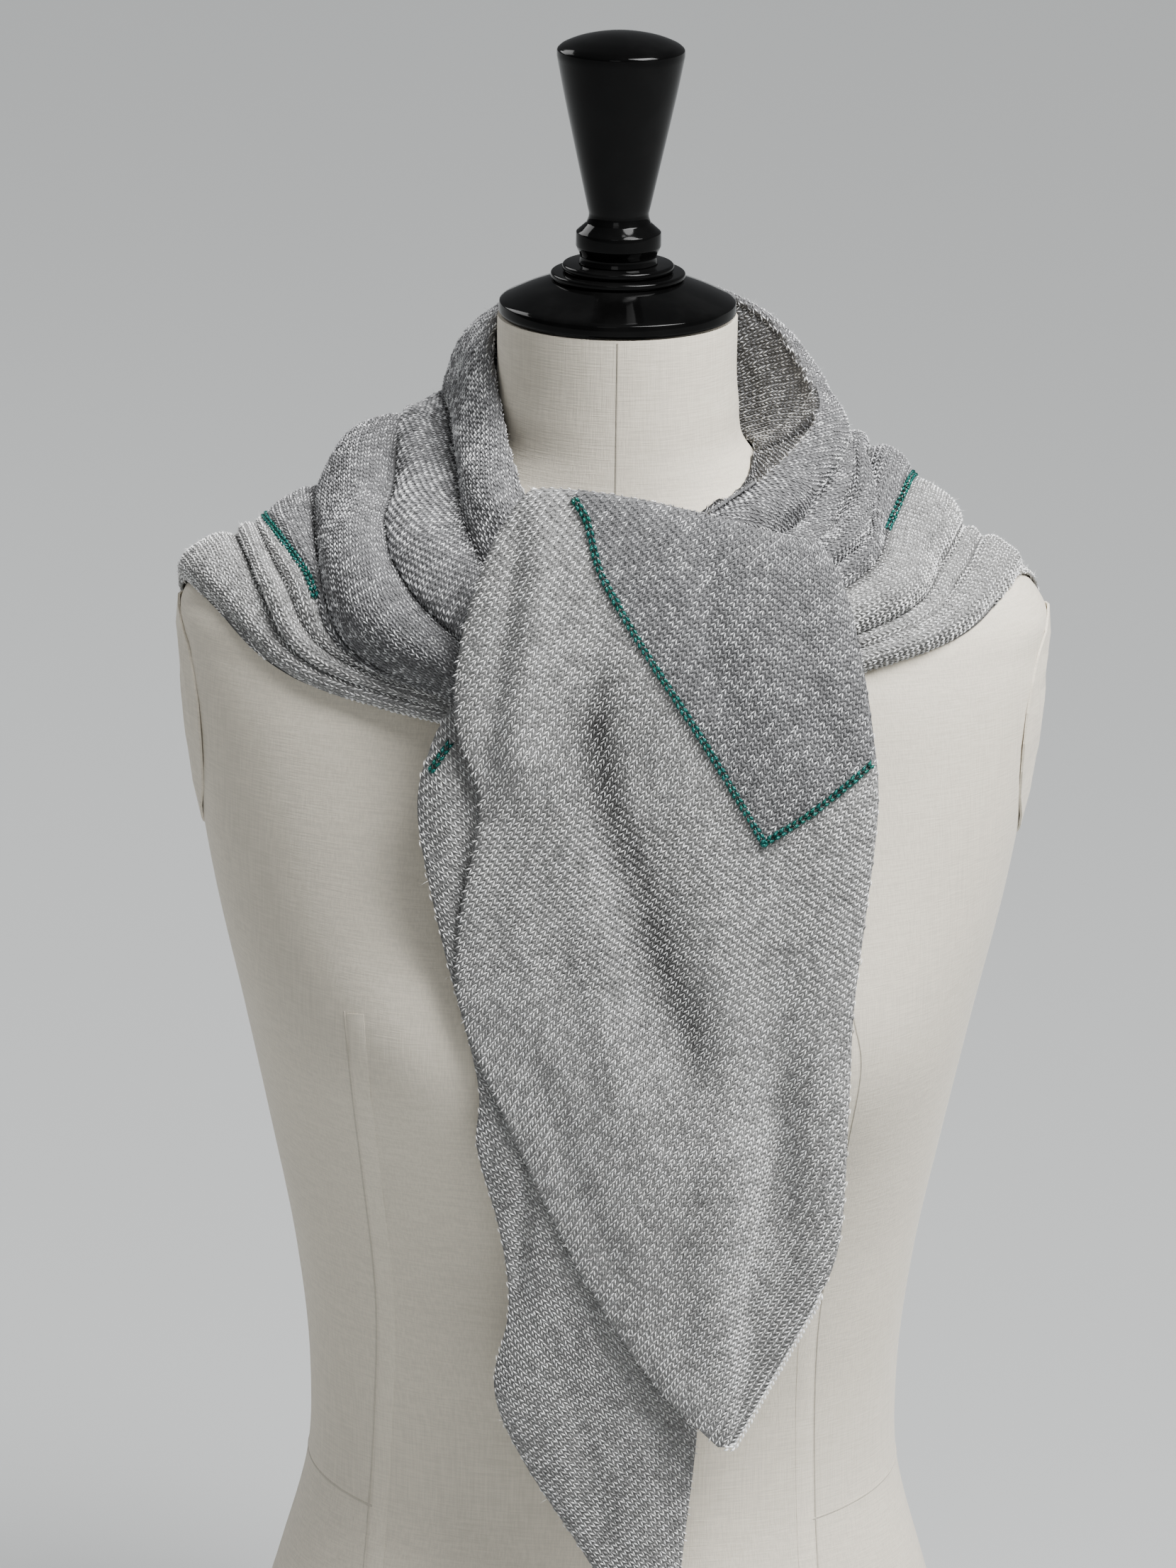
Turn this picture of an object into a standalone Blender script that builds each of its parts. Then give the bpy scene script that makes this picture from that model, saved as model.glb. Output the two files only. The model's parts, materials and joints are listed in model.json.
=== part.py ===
"""Square knitted scarf, folded corner to corner, worn round the neck and tied in front.

The cloth rests on a limbless, linen-covered dress form with a turned and lacquered cap and knob.
Tables are in centimetres; meshes are in metres. The form faces -Y, stands on Z = 0 and is centred
on the Z axis.
"""
import math
from collections import namedtuple

import bmesh
import bpy
import numpy as np
from mathutils import Vector
from mathutils.bvhtree import BVHTree

# ------------------------------------------------------------------ driving dimensions (cm)
CM = 0.01                     # metres in a centimetre
SEAM_GAP = 0.03               # between neighbouring pieces
SEAM_HALF = 0.024             # drawn back along the cloth on each side of a seam
BOARD_THICKNESS = 1.2         # base board of the form
BOARD_INSET = 0.5             # board edge inside the torso's lower edge
NECK_TOP = 79.0               # height of the cut of the neck
CLOTH = 0.15                  # wall of the knitted cloth
CLOTH_CLEARANCE = 0.07        # cloth wall to what it rests on
TRIM_WIDTH = 0.36             # chain-stitch line
TRIM_THICKNESS = 0.12
TRIM_GAP = 0.05               # chain-stitch line to the cloth under it
FAR = 40.0                    # from outside every piece
TOLERANCE = 0.002             # closest that settling cloth needs to come to its clearance
NORMAL_PASSES = 2             # rounds that even out the directions of a wall's thickness

TORSO_COLUMNS = 40            # points round the torso
ROLL_STRIPS = (4, 4, 5, 3, 2, 3, 4)    # strips across each roll of cloth, from the neck outwards
ROLL_STEEPNESS = 0.36         # most that a roll rises, as a share of its width
ROLL_FULLNESS = 0.85          # below 1 a roll's sides are steeper than a sine's
WRAP_STEPS = 13               # sections along a wrap, shoulder to tie
BACK_STEPS = 13               # sections from centre back to shoulder
BACK_PUSHED = 9               # of those sections, the ones that hang behind the torso
INNER_STRIPS = 3              # strips down the inner layer of the collar
STATION_STEPS = 12            # points between two stations of a crease
SHOULDER_STATION = 3          # centre back, beside it, shoulder blade, shoulder ...
LAST_STATION = 6              # ... high chest, low chest, tie
INNER_FRONT_STEPS = 8         # sections that the inner layer reaches in front of the right shoulder
PROBES = 4                    # probes along each side of a face that keep the cloth clear of others
LIFT_ROUNDS = 20              # passes that settle the cloth clear of what it rests on

# Torso sections: height, half width, depth in front, depth behind, squareness of the oval.
Section = namedtuple("Section", "height half_width front back squareness")
TORSO = (
    Section(1.23, 17.6, 10.6, 11.6, 2.15),     # lower edge
    Section(8.0, 17.7, 11.0, 11.9, 2.15),      # hip
    Section(15.0, 16.5, 10.6, 10.4, 2.15),
    Section(20.0, 15.0, 9.8, 8.9, 2.15),
    Section(25.5, 13.6, 8.8, 7.8, 2.20),       # waist seam
    Section(30.0, 13.5, 8.9, 7.6, 2.20),       # narrowest
    Section(36.0, 14.1, 10.0, 8.0, 2.20),
    Section(42.0, 15.2, 11.2, 8.8, 2.25),
    Section(48.0, 16.4, 12.0, 9.5, 2.30),      # bust
    Section(54.0, 17.7, 11.6, 9.9, 2.35),
    Section(60.0, 18.6, 10.4, 9.6, 2.40),
    Section(64.5, 19.0, 9.0, 8.6, 2.40),
    Section(66.4, 18.9, 8.1, 7.9, 2.35),       # shoulder tip
    Section(67.5, 17.9, 7.5, 7.4, 2.30),
    Section(69.0, 14.2, 6.7, 6.8, 2.20),
    Section(70.6, 10.3, 6.0, 6.4, 2.10),
    Section(71.9, 7.2, 5.6, 6.0, 2.00),        # foot of the neck
    Section(73.2, 5.8, 5.4, 5.6, 2.00),
    Section(75.5, 5.3, 5.2, 5.3, 2.00),
    Section(NECK_TOP, 5.2, 5.1, 5.2, 2.00),
)
BUST_OUT = 9.5                # each side of the centre line
BUST_HEIGHT = 49.0
BUST_RISE = 1.5
BUST_SPREAD = 5.5

# Armhole plates: covered ovals on the sides of the torso.
PLATE_HEIGHT = 61.0
PLATE_HALF_HEIGHT = 5.2
PLATE_HALF_DEPTH = 4.0
PLATE_THICKNESS = 0.2
PLATE_RIM = 0.1
PLATE_CLEARANCE = 0.04
PLATE_RINGS = 4
PLATE_SPOKES = 24

# Turned profiles, radius and height, each from the axis at its top round to the axis below.
CAP_PROFILE = ((0.0, 80.58), (2.90, 80.58), (4.98, 79.72), (5.13, 79.62), (5.16, 79.20), (5.08, 79.03),
               (0.0, 79.03))
LOWER_RING_PROFILE = ((0.0, 80.92), (2.84, 80.92), (2.92, 80.86), (2.92, 80.69), (2.84, 80.61), (0.0, 80.61))
UPPER_RING_PROFILE = ((0.0, 81.28), (2.34, 81.28), (2.42, 81.21), (2.42, 81.03), (2.34, 80.95), (0.0, 80.95))
KNOB_PROFILE = ((0.0, 91.30), (0.9, 91.24), (1.8, 91.05), (2.45, 90.80), (2.72, 90.58), (2.75, 90.30),
                (2.42, 88.60), (1.86, 86.00), (1.40, 83.90), (1.28, 83.45), (1.34, 83.05), (1.72, 82.72),
                (1.84, 82.50), (1.85, 82.05), (1.76, 81.80), (1.66, 81.55), (1.72, 81.31), (0.0, 81.31))
TURNED_STEPS = 32

# Creases of the worn cloth, from the neck outwards. A roll of cloth rises between each crease and
# the next: how high it stands behind, over the shoulder, high and low on the chest and in the tie,
# and how far it leans towards the outer crease.
Roll = namedtuple("Roll", "name back shoulder high low tie lean")
LEFT_ROLLS = (
    Roll("neck roll", 0.7, 0.40, 0.50, 0.60, 0.4, 0.0),
    Roll("inner band", 0.9, 0.40, 0.65, 0.80, 0.5, 0.0),
    Roll("big roll", 1.1, 0.95, 1.45, 1.30, 0.7, 0.12),
    Roll("seam roll", 0.3, 0.55, 0.20, 0.10, 0.05, 0.0),
    Roll("first border pleat", 0.35, 0.10, 0.12, 0.05, 0.03, 0.0),
    Roll("second border pleat", 0.40, 0.30, 0.46, 0.35, 0.05, 0.1),
    Roll("outer panel", 0.3, 0.70, 0.55, 0.30, 0.1, 0.0),
)
RIGHT_ROLLS = (
    Roll("cowl roll", 0.7, 0.50, 0.75, 0.90, 0.5, 0.1),
    Roll("narrow roll", 0.9, 0.30, 0.40, 0.45, 0.3, 0.1),
    Roll("inner arc", 1.2, 0.45, 0.60, 0.60, 0.4, 0.1),
    Roll("outer arc", 0.4, 0.95, 0.35, 0.30, 0.3, 0.1),
    Roll("border panel", 0.35, 0.50, 0.65, 0.65, 0.4, 0.1),
    Roll("border pleat", 0.40, 0.20, 0.22, 0.15, 0.1, 0.0),
    Roll("outer panel", 0.3, 0.40, 0.40, 0.35, 0.2, 0.0),
)

# Where each crease passes: over the shoulder, high and low on the chest, and into the tie.
Crease = namedtuple("Crease", "name shoulder high low tie")
LEFT_CREASES = (
    Crease("neck edge", (-5.65, 0.2, 77.7), (-5.0, -3.0, 74.9), (-4.3, -5.8, 73.2), (-3.3, -8.4, 71.4)),
    Crease("neck trough", (-7.1, 0.9, 73.7), (-6.7, -4.3, 72.0), (-6.0, -7.2, 70.7), (-4.4, -10.0, 68.4)),
    Crease("deep hollow", (-9.4, 1.4, 72.9), (-9.8, -3.9, 70.6), (-8.4, -7.7, 68.5), (-5.4, -10.7, 66.4)),
    Crease("under big roll", (-13.0, 1.2, 70.5), (-12.6, -5.3, 68.5), (-11.1, -8.0, 65.9), (-6.1, -10.8, 64.8)),
    Crease("border seam", (-15.3, 0.9, 69.4), (-13.2, -5.1, 68.6), (-11.6, -7.7, 66.0), (-6.2, -10.6, 64.5)),
    Crease("first pleat", (-15.7, 0.8, 69.1), (-14.1, -5.0, 68.0), (-12.2, -7.4, 65.8), (-6.2, -10.5, 64.2)),
    Crease("second pleat", (-16.5, 0.6, 68.5), (-15.2, -4.5, 67.8), (-12.8, -7.3, 65.2), (-6.2, -10.4, 63.9)),
    Crease("outer edge", (-19.1, 0.0, 67.2), (-17.3, -3.7, 66.9), (-13.4, -7.3, 64.6), (-6.1, -10.4, 63.4)),
)
RIGHT_CREASES = (
    Crease("fold edge", (8.5, 1.2, 76.0), (8.7, -1.7, 75.1), (6.3, -5.2, 73.8), (3.4, -8.6, 72.1)),
    Crease("cowl hollow", (9.5, 1.4, 73.8), (9.2, -2.4, 72.3), (7.5, -6.6, 71.3), (3.8, -9.7, 69.8)),
    Crease("narrow trough", (9.9, 1.6, 73.0), (10.0, -3.0, 71.6), (8.9, -6.2, 70.7), (4.0, -9.9, 68.5)),
    Crease("arc trough", (10.9, 1.5, 72.6), (11.4, -2.2, 71.1), (10.2, -6.0, 70.0), (4.2, -10.2, 67.4)),
    Crease("border seam", (13.0, 1.5, 71.4), (12.2, -2.6, 70.5), (10.6, -6.5, 69.2), (4.3, -10.2, 66.6)),
    Crease("border trough", (15.3, 1.2, 69.2), (14.2, -3.2, 68.8), (12.3, -6.4, 67.5), (4.4, -10.1, 65.4)),
    Crease("outer pleat", (16.1, 0.8, 68.8), (15.0, -3.4, 68.3), (12.8, -6.6, 66.9), (4.4, -10.0, 64.9)),
    Crease("outer edge", (17.8, -0.4, 68.0), (16.6, -3.5, 67.5), (13.6, -6.6, 66.1), (4.4, -9.9, 64.2)),
)

# The same creases behind: depth and height at the centre of the back, then out, depth and height
# beside it and at the shoulder blade. The lower ones hang in a point, so they meet at an angle.
BackCrease = namedtuple("BackCrease", "name centre beside blade pointed")
BACK_CREASES = (
    BackCrease("fold edge", (0.0, 6.6, 79.1), (3.6, 6.3, 79.0), (6.8, 4.4, 77.9), False),
    BackCrease("neck trough", (0.0, 8.0, 75.0), (4.2, 7.4, 74.8), (7.4, 4.9, 74.3), False),
    BackCrease("upper trough", (0.0, 9.2, 71.6), (5.2, 8.3, 71.5), (8.6, 5.4, 72.2), False),
    BackCrease("under big roll", (0.0, 10.1, 67.0), (6.4, 9.4, 67.2), (11.2, 6.4, 69.0), False),
    BackCrease("border seam", (0.0, 10.6, 48.0), (7.5, 10.4, 57.6), (13.0, 8.2, 65.0), True),
    BackCrease("first pleat", (0.0, 10.6, 38.5), (8.0, 10.4, 53.0), (14.2, 8.0, 63.6), True),
    BackCrease("second pleat", (0.0, 10.6, 29.5), (8.6, 10.2, 48.6), (15.4, 7.6, 62.2), True),
    BackCrease("outer edge", (0.0, 10.6, 20.5), (9.4, 10.0, 43.6), (17.4, 6.4, 60.0), True),
)
# On the left the fold edge hugs the neck.
LEFT_FOLD_BEHIND = BackCrease("fold edge", (0.0, 6.6, 79.1), (3.3, 5.8, 79.0), (5.0, 3.4, 78.5), False)

# Foot of the collar's inner layer, an oval round the foot of the neck.
INNER_FOOT_HEIGHT = 73.0
INNER_FOOT_HALF_WIDTH = 6.5
INNER_FOOT_HALF_DEPTH = 6.3
INNER_BULGE = 0.3             # how far the inner layer sags away from a straight line

BORDER_SEAM = 4               # index of the crease the teal line follows
COLLAR_CREASES = 3            # the collar reaches from the fold edge to this crease

# The end that comes up through the tie and falls in front: rows from its turned-in top to its
# corner. Each gives the left and right edge, how much higher the middle is, how deep it lies, how
# far the edges curl back, and how deep the long valley at the right is.
TailRow = namedtuple("TailRow", "name left left_height right right_height crown depth curl valley")
FRONT_TAIL = (
    TailRow("turned in", -3.1, 72.6, 7.5, 70.8, 0.5, 11.3, 0.3, 0.0),
    TailRow("top fold", -3.6, 73.8, 8.4, 71.7, 0.6, 11.8, 0.5, 0.0),
    TailRow("over the tie", -5.2, 71.5, 9.5, 70.2, 0.3, 13.1, 0.9, 0.0),
    TailRow("tie", -6.4, 67.6, 10.3, 67.3, 0.1, 13.6, 1.0, 0.0),
    TailRow("below the tie", -6.6, 64.2, 10.9, 64.0, 0.0, 13.8, 0.8, 0.0),
    TailRow("pinched", -5.6, 60.7, 11.2, 60.8, 0.0, 14.0, 0.7, 0.1),
    TailRow("fuller", -6.4, 55.6, 10.8, 56.0, 0.0, 14.2, 0.7, 0.2),
    TailRow("fullest", -6.4, 51.9, 10.4, 51.8, 0.0, 14.3, 0.7, 0.4),
    TailRow("left turns in", -4.8, 47.6, 10.3, 47.2, 0.0, 14.3, 0.6, 0.6),
    TailRow("narrowing", -2.3, 42.0, 10.1, 41.4, 0.0, 14.1, 0.5, 0.6),
    TailRow("hem starts", -0.2, 38.0, 9.2, 38.4, 0.0, 13.9, 0.3, 0.4),
    TailRow("toe", 2.3, 34.2, 7.2, 34.4, 0.0, 13.8, 0.2, 0.2),
    TailRow("corner", 5.0, 31.4, 5.7, 31.4, 0.0, 13.7, 0.0, 0.0),
)
VALLEY_PLACE = 0.80           # across the tail, from its left edge
VALLEY_WIDTH = 0.09
CROWN_SKEW = 0.7              # below 1 the crown is nearer the left edge
CURL_TIGHTNESS = 5            # the higher, the nearer to its edge a tail curls back
TAIL_ROWS = 23
TAIL_COLUMNS = 13

# The other end, which leaves the tie underneath and hangs lower.
UNDER_TAIL = (
    TailRow("leaves the tie", -6.7, 65.0, -0.6, 65.0, 0.0, 11.5, 0.0, 0.0),
    TailRow("spreads", -7.7, 62.8, 1.2, 62.8, 0.0, 12.1, 0.5, 0.2),
    TailRow("upper bulge", -8.2, 60.0, 2.8, 60.0, 0.0, 12.5, 0.6, 0.3),
    TailRow("narrowing", -7.2, 54.8, 4.3, 54.8, 0.0, 12.9, 0.3, 0.2),
    TailRow("behind", -5.6, 48.4, 4.6, 48.4, 0.0, 13.1, 0.2, 0.0),
    TailRow("ripple out", -5.6, 45.2, 4.6, 45.2, 0.0, 13.0, 0.3, 0.2),
    TailRow("ripple in", -4.6, 41.2, 4.5, 41.2, 0.0, 12.7, 0.3, 0.2),
    TailRow("lower side", -4.2, 37.4, 4.4, 37.4, 0.0, 12.5, 0.4, 0.2),
    TailRow("lower bulge", -4.8, 33.6, 4.2, 33.6, 0.0, 12.3, 0.5, 0.1),
    TailRow("edge turns in", -3.6, 30.3, 4.0, 30.3, 0.0, 12.2, 0.3, 0.0),
    TailRow("toe", -0.4, 25.0, 3.5, 25.0, 0.0, 12.1, 0.2, 0.0),
    TailRow("corner", 2.5, 19.4, 3.1, 19.4, 0.0, 12.1, 0.0, 0.0),
)
UNDER_ROWS = 23
UNDER_COLUMNS = 9

# The teal line on the front tail: down to the inner corner, then up to the right edge (x, height).
FRONT_LINE = ((-1.7, 73.6), (-1.2, 72.8), (-0.7, 71.0), (0.1, 69.5), (1.2, 67.7), (3.7, 63.9),
              (5.4, 61.1), (6.4, 59.4))
FRONT_LINE_RETURN = ((6.9, 59.6), (8.4, 60.7), (10.7, 62.6))
UNDER_LINE = ((-7.6, 62.0), (-6.9, 63.1))
LINE_LEFT_STEPS = 5           # sections of each wrap along which its line shows, from the shoulder
LINE_RIGHT_STEPS = 6

# The bunched band of the half knot, behind the front tail, between the ends of both wraps.
TIE_SECTIONS = 7
TIE_HALF_DEPTH = 0.5
TIE_END_GAP = 0.06            # along X, from the slanting end of each wrap
TIE_BUNCHING = 0.45           # share of its height that the band loses at its middle


# ------------------------------------------------------------------ scene helpers
def clear_scene():
    """Remove every object the session starts with."""
    for thing in list(bpy.data.objects):
        bpy.data.objects.remove(thing, do_unlink=True)


def new_collection(name):
    """Make a collection in the scene."""
    made = bpy.data.collections.new(name)
    bpy.context.scene.collection.children.link(made)
    return made


def make_material(name, colour, roughness, metallic=0.0, coat=0.0):
    """A Principled material of one colour."""
    made = bpy.data.materials.new(name)
    made.use_nodes = True
    shader = made.node_tree.nodes["Principled BSDF"]
    shader.inputs["Base Color"].default_value = (*colour, 1.0)
    shader.inputs["Roughness"].default_value = roughness
    shader.inputs["Metallic"].default_value = metallic
    shader.inputs["Coat Weight"].default_value = coat
    return made


def add_mesh(name, points, faces, material, collection, smooth_angle=40.0):
    """Make an object from points in centimetres and faces, shaded smooth up to an angle."""
    mesh = bpy.data.meshes.new(name)
    mesh.from_pydata([tuple(float(value) * CM for value in point) for point in points], [], faces)
    body = bmesh.new()
    body.from_mesh(mesh)
    bmesh.ops.recalc_face_normals(body, faces=body.faces)
    body.to_mesh(mesh)
    body.free()
    mesh.shade_smooth()
    mesh.set_sharp_from_angle(angle=math.radians(smooth_angle))
    mesh.materials.append(material)
    thing = bpy.data.objects.new(name, mesh)
    collection.objects.link(thing)
    return thing


# ------------------------------------------------------------------ curves and surfaces
def smooth_rows(rows, count, mirrored_start=False):
    """Spread count rows along the smooth curve through the given rows (Catmull-Rom)."""
    rows = np.asarray(rows, dtype=float)
    last = len(rows) - 1
    first = 2.0 * rows[0] - rows[1]
    if mirrored_start:
        first = rows[1] * np.array([-1.0, 1.0, 1.0])
    padded = np.concatenate(([first], rows, [2.0 * rows[-1] - rows[-2]]))
    spread = []
    for place in np.linspace(0.0, last, count):
        index = min(int(place), last - 1)
        part = place - index
        before, start, end, after = padded[index:index + 4]
        spread.append(0.5 * (2.0 * start + (end - before) * part
                             + (2.0 * before - 5.0 * start + 4.0 * end - after) * part ** 2
                             + (3.0 * start - before - 3.0 * end + after) * part ** 3))
    return np.array(spread)


def section_at(height):
    """Torso section at a height, blended smoothly between the table's rows."""
    rows = np.array(TORSO)
    heights = rows[:, 0]
    slopes = np.gradient(rows, heights, axis=0)
    index = int(np.clip(np.searchsorted(heights, height) - 1, 0, len(rows) - 2))
    span = heights[index + 1] - heights[index]
    part = (height - heights[index]) / span
    blend = ((2 * part ** 3 - 3 * part ** 2 + 1) * rows[index]
             + (part ** 3 - 2 * part ** 2 + part) * span * slopes[index]
             + (3 * part ** 2 - 2 * part ** 3) * rows[index + 1]
             + (part ** 3 - part ** 2) * span * slopes[index + 1])
    return Section(height, *blend[1:])


def bust_rise(out, height):
    """How far the bust stands in front of the plain oval."""
    rise = 0.0
    for side in (-1.0, 1.0):
        distance = ((out - side * BUST_OUT) ** 2 + (height - BUST_HEIGHT) ** 2) / BUST_SPREAD ** 2
        rise += BUST_RISE * math.exp(-distance)
    return rise


def torso_point(height, angle):
    """Point on the torso at a height, the angle measured from +X towards +Y."""
    section = section_at(height)
    power = 2.0 / section.squareness
    across = math.cos(angle)
    along = math.sin(angle)
    out = section.half_width * math.copysign(abs(across) ** power, across)
    depth = section.back if along > 0.0 else section.front
    back = depth * math.copysign(abs(along) ** power, along)
    if along < 0.0:
        back -= bust_rise(out, height) * min(1.0, -2.0 * along)
    return (out, back, height)


def torso_heights():
    """Heights of the torso's rings, closer together over the shoulders."""
    body = np.linspace(TORSO[0].height, 64.5, 20)
    shoulders = (66.0, 66.9, 67.6, 68.4, 69.4, 70.4, 71.2, 71.9, 72.7, 73.8)
    neck = np.linspace(75.4, NECK_TOP, 3)
    return [float(height) for height in (*body, *shoulders, *neck)]


def loft(rings):
    """Points and faces of a closed body through rings of equal count, capped at both ends."""
    count = len(rings[0])
    points = [point for ring in rings for point in ring]
    faces = []
    for row in range(len(rings) - 1):
        for column in range(count):
            following = (column + 1) % count
            faces.append((row * count + column, row * count + following,
                          (row + 1) * count + following, (row + 1) * count + column))
    faces.append(tuple(reversed(range(count))))
    faces.append(tuple(range((len(rings) - 1) * count, len(rings) * count)))
    return points, faces


def bisected(grid, axis):
    """Unit directions along a grid axis that halve the angle between a point's two steps."""
    steps = np.diff(grid, axis=axis)
    steps /= np.maximum(np.linalg.norm(steps, axis=2, keepdims=True), 1e-9)
    first = np.take(steps, [0], axis=axis)
    last = np.take(steps, [-1], axis=axis)
    return np.concatenate((first, steps), axis=axis) + np.concatenate((steps, last), axis=axis)


def grid_normals(grid):
    """Unit normals of a grid of points, evened out between neighbours so that a wall never folds."""
    normals = np.cross(bisected(grid, 1), bisected(grid, 0))
    for _ in range(NORMAL_PASSES):
        normals /= np.maximum(np.linalg.norm(normals, axis=2, keepdims=True), 1e-9)
        spread = np.pad(normals, ((1, 1), (1, 1), (0, 0)), mode="edge")
        normals = (2.0 * normals + spread[:-2, 1:-1] + spread[2:, 1:-1]
                   + spread[1:-1, :-2] + spread[1:-1, 2:])
    return normals / np.maximum(np.linalg.norm(normals, axis=2, keepdims=True), 1e-9)


def wall(outer, inner):
    """Points and faces of a closed wall between two grids of the same size.

    A twisted four-sided face is cut along its outer diagonal, on both sides of the wall alike.
    """
    rows, columns = outer.shape[:2]
    total = rows * columns
    places = outer.reshape(-1, 3)
    outward = places - inner.reshape(-1, 3)
    points = [tuple(point) for grid in (outer, inner) for point in grid.reshape(-1, 3)]
    faces = []
    for row in range(rows - 1):
        for column in range(columns - 1):
            corner = row * columns + column
            quad = (corner, corner + 1, corner + columns + 1, corner + columns)
            bulge = places[quad[0]] + places[quad[2]] - places[quad[1]] - places[quad[3]]
            turn = 0 if bulge @ outward[corner] >= 0.0 else 1
            quad = quad[turn:] + quad[:turn]
            for half in (quad[:3], (quad[2], quad[3], quad[0])):
                faces.append(half)
                faces.append(tuple(total + index for index in reversed(half)))
    rim = [column for column in range(columns)]
    rim += [row * columns + columns - 1 for row in range(1, rows)]
    rim += [(rows - 1) * columns + column for column in range(columns - 2, -1, -1)]
    rim += [row * columns for row in range(rows - 2, 0, -1)]
    for start, end in zip(rim, rim[1:] + rim[:1]):
        faces.append((end, start, total + start, total + end))
    return points, faces


def cloth_body(name, grid, normals, material, collection, thickness=CLOTH):
    """A wall of cloth whose middle surface is the grid."""
    points, faces = wall(grid + normals * thickness / 2.0, grid - normals * thickness / 2.0)
    return add_mesh(name, points, faces, material, collection, 60.0)


def surface_tree(things):
    """Search tree of the objects' evaluated meshes, in centimetres."""
    graph = bpy.context.evaluated_depsgraph_get()
    points = []
    faces = []
    for thing in things:
        mesh = thing.evaluated_get(graph).to_mesh()
        offset = len(points)
        points += [Vector(vertex.co) / CM for vertex in mesh.vertices]
        faces += [tuple(offset + index for index in face.vertices) for face in mesh.polygons]
    return BVHTree.FromPolygons(points, faces)


def face_probes(rows, columns):
    """Probes of a grid: the four corners of a face, and their weights at a place on it."""
    probes = []
    for row in range(rows - 1):
        for column in range(columns - 1):
            corner = row * columns + column
            corners = [corner, corner + 1, corner + columns, corner + columns + 1]
            for down in range(PROBES + (row == rows - 2)):
                for along in range(PROBES + (column == columns - 2)):
                    first, second = down / PROBES, along / PROBES
                    weights = np.array([(1.0 - first) * (1.0 - second), (1.0 - first) * second,
                                        first * (1.0 - second), first * second])
                    probes.append((corners, weights))
    return probes


def settle(grid, shift_at):
    """Move a grid's faces until no probe asks for a shift."""
    points = grid.reshape(-1, 3)
    probes = face_probes(*grid.shape[:2])
    for _ in range(LIFT_ROUNDS):
        moved = False
        for corners, weights in probes:
            shift = shift_at(Vector(weights @ points[corners]))
            if shift is not None:
                points[corners] += np.outer(weights / (weights @ weights), shift)
                moved = True
        if not moved:
            return


def lift_clear(grid, tree, clearance):
    """Move a grid out of a solid, straight away from its nearest faces."""
    def shift_at(place):
        near, normal, _, distance = tree.find_nearest(place)
        short = clearance - math.copysign(distance, (place - near).dot(normal))
        return normal * short if short > TOLERANCE else None
    settle(grid, shift_at)


def push_out(grid, tree, clearance, way):
    """Move a grid clear of a solid, along +Y behind it (way 1) or along -Y before it (way -1)."""
    def shift_at(place):
        hit = tree.ray_cast(Vector((place.x, way * FAR, place.z)), Vector((0.0, -way, 0.0)))[0]
        short = -1.0 if hit is None else (hit.y - place.y) * way + clearance
        return Vector((0.0, way * short, 0.0)) if short > TOLERANCE else None
    settle(grid, shift_at)


def seat(grid, tree, clearance):
    """Slide a hanging grid back along +Y until its nearest point almost touches what is behind."""
    gaps = []
    for point in grid.reshape(-1, 3):
        hit = tree.ray_cast(Vector((point[0], -FAR, point[2])), Vector((0.0, 1.0, 0.0)))[0]
        if hit is not None:
            gaps.append(hit.y - point[1])
    grid[..., 1] += min(gaps) - clearance


# ------------------------------------------------------------------ dress form
def build_form(collection, linen, lacquer, wood):
    """Torso with neck, armhole plates, turned cap, rings and knob, and base board."""
    angles = [2.0 * math.pi * column / TORSO_COLUMNS for column in range(TORSO_COLUMNS)]
    rings = [[torso_point(height, angle) for angle in angles] for height in torso_heights()]
    points, faces = loft(rings)
    torso = add_mesh("form_torso", points, faces, linen, collection)

    edge = rings[0]
    shrink = 1.0 - BOARD_INSET / TORSO[0].half_width
    outline = [(point[0] * shrink, point[1] * shrink) for point in edge]
    board = [[(x, y, height) for x, y in outline] for height in (0.0, BOARD_THICKNESS)]
    points, faces = loft(board)
    add_mesh("form_base_board", points, faces, wood, collection, 30.0)

    for name, side in (("form_armhole_plate_left", -1.0), ("form_armhole_plate_right", 1.0)):
        build_plate(name, side, surface_tree([torso]), linen, collection)

    for name, profile in (("form_neck_cap", CAP_PROFILE), ("form_lower_ring", LOWER_RING_PROFILE),
                          ("form_upper_ring", UPPER_RING_PROFILE), ("form_knob", KNOB_PROFILE)):
        build_turned(name, profile, lacquer, collection)
    return torso


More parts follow.
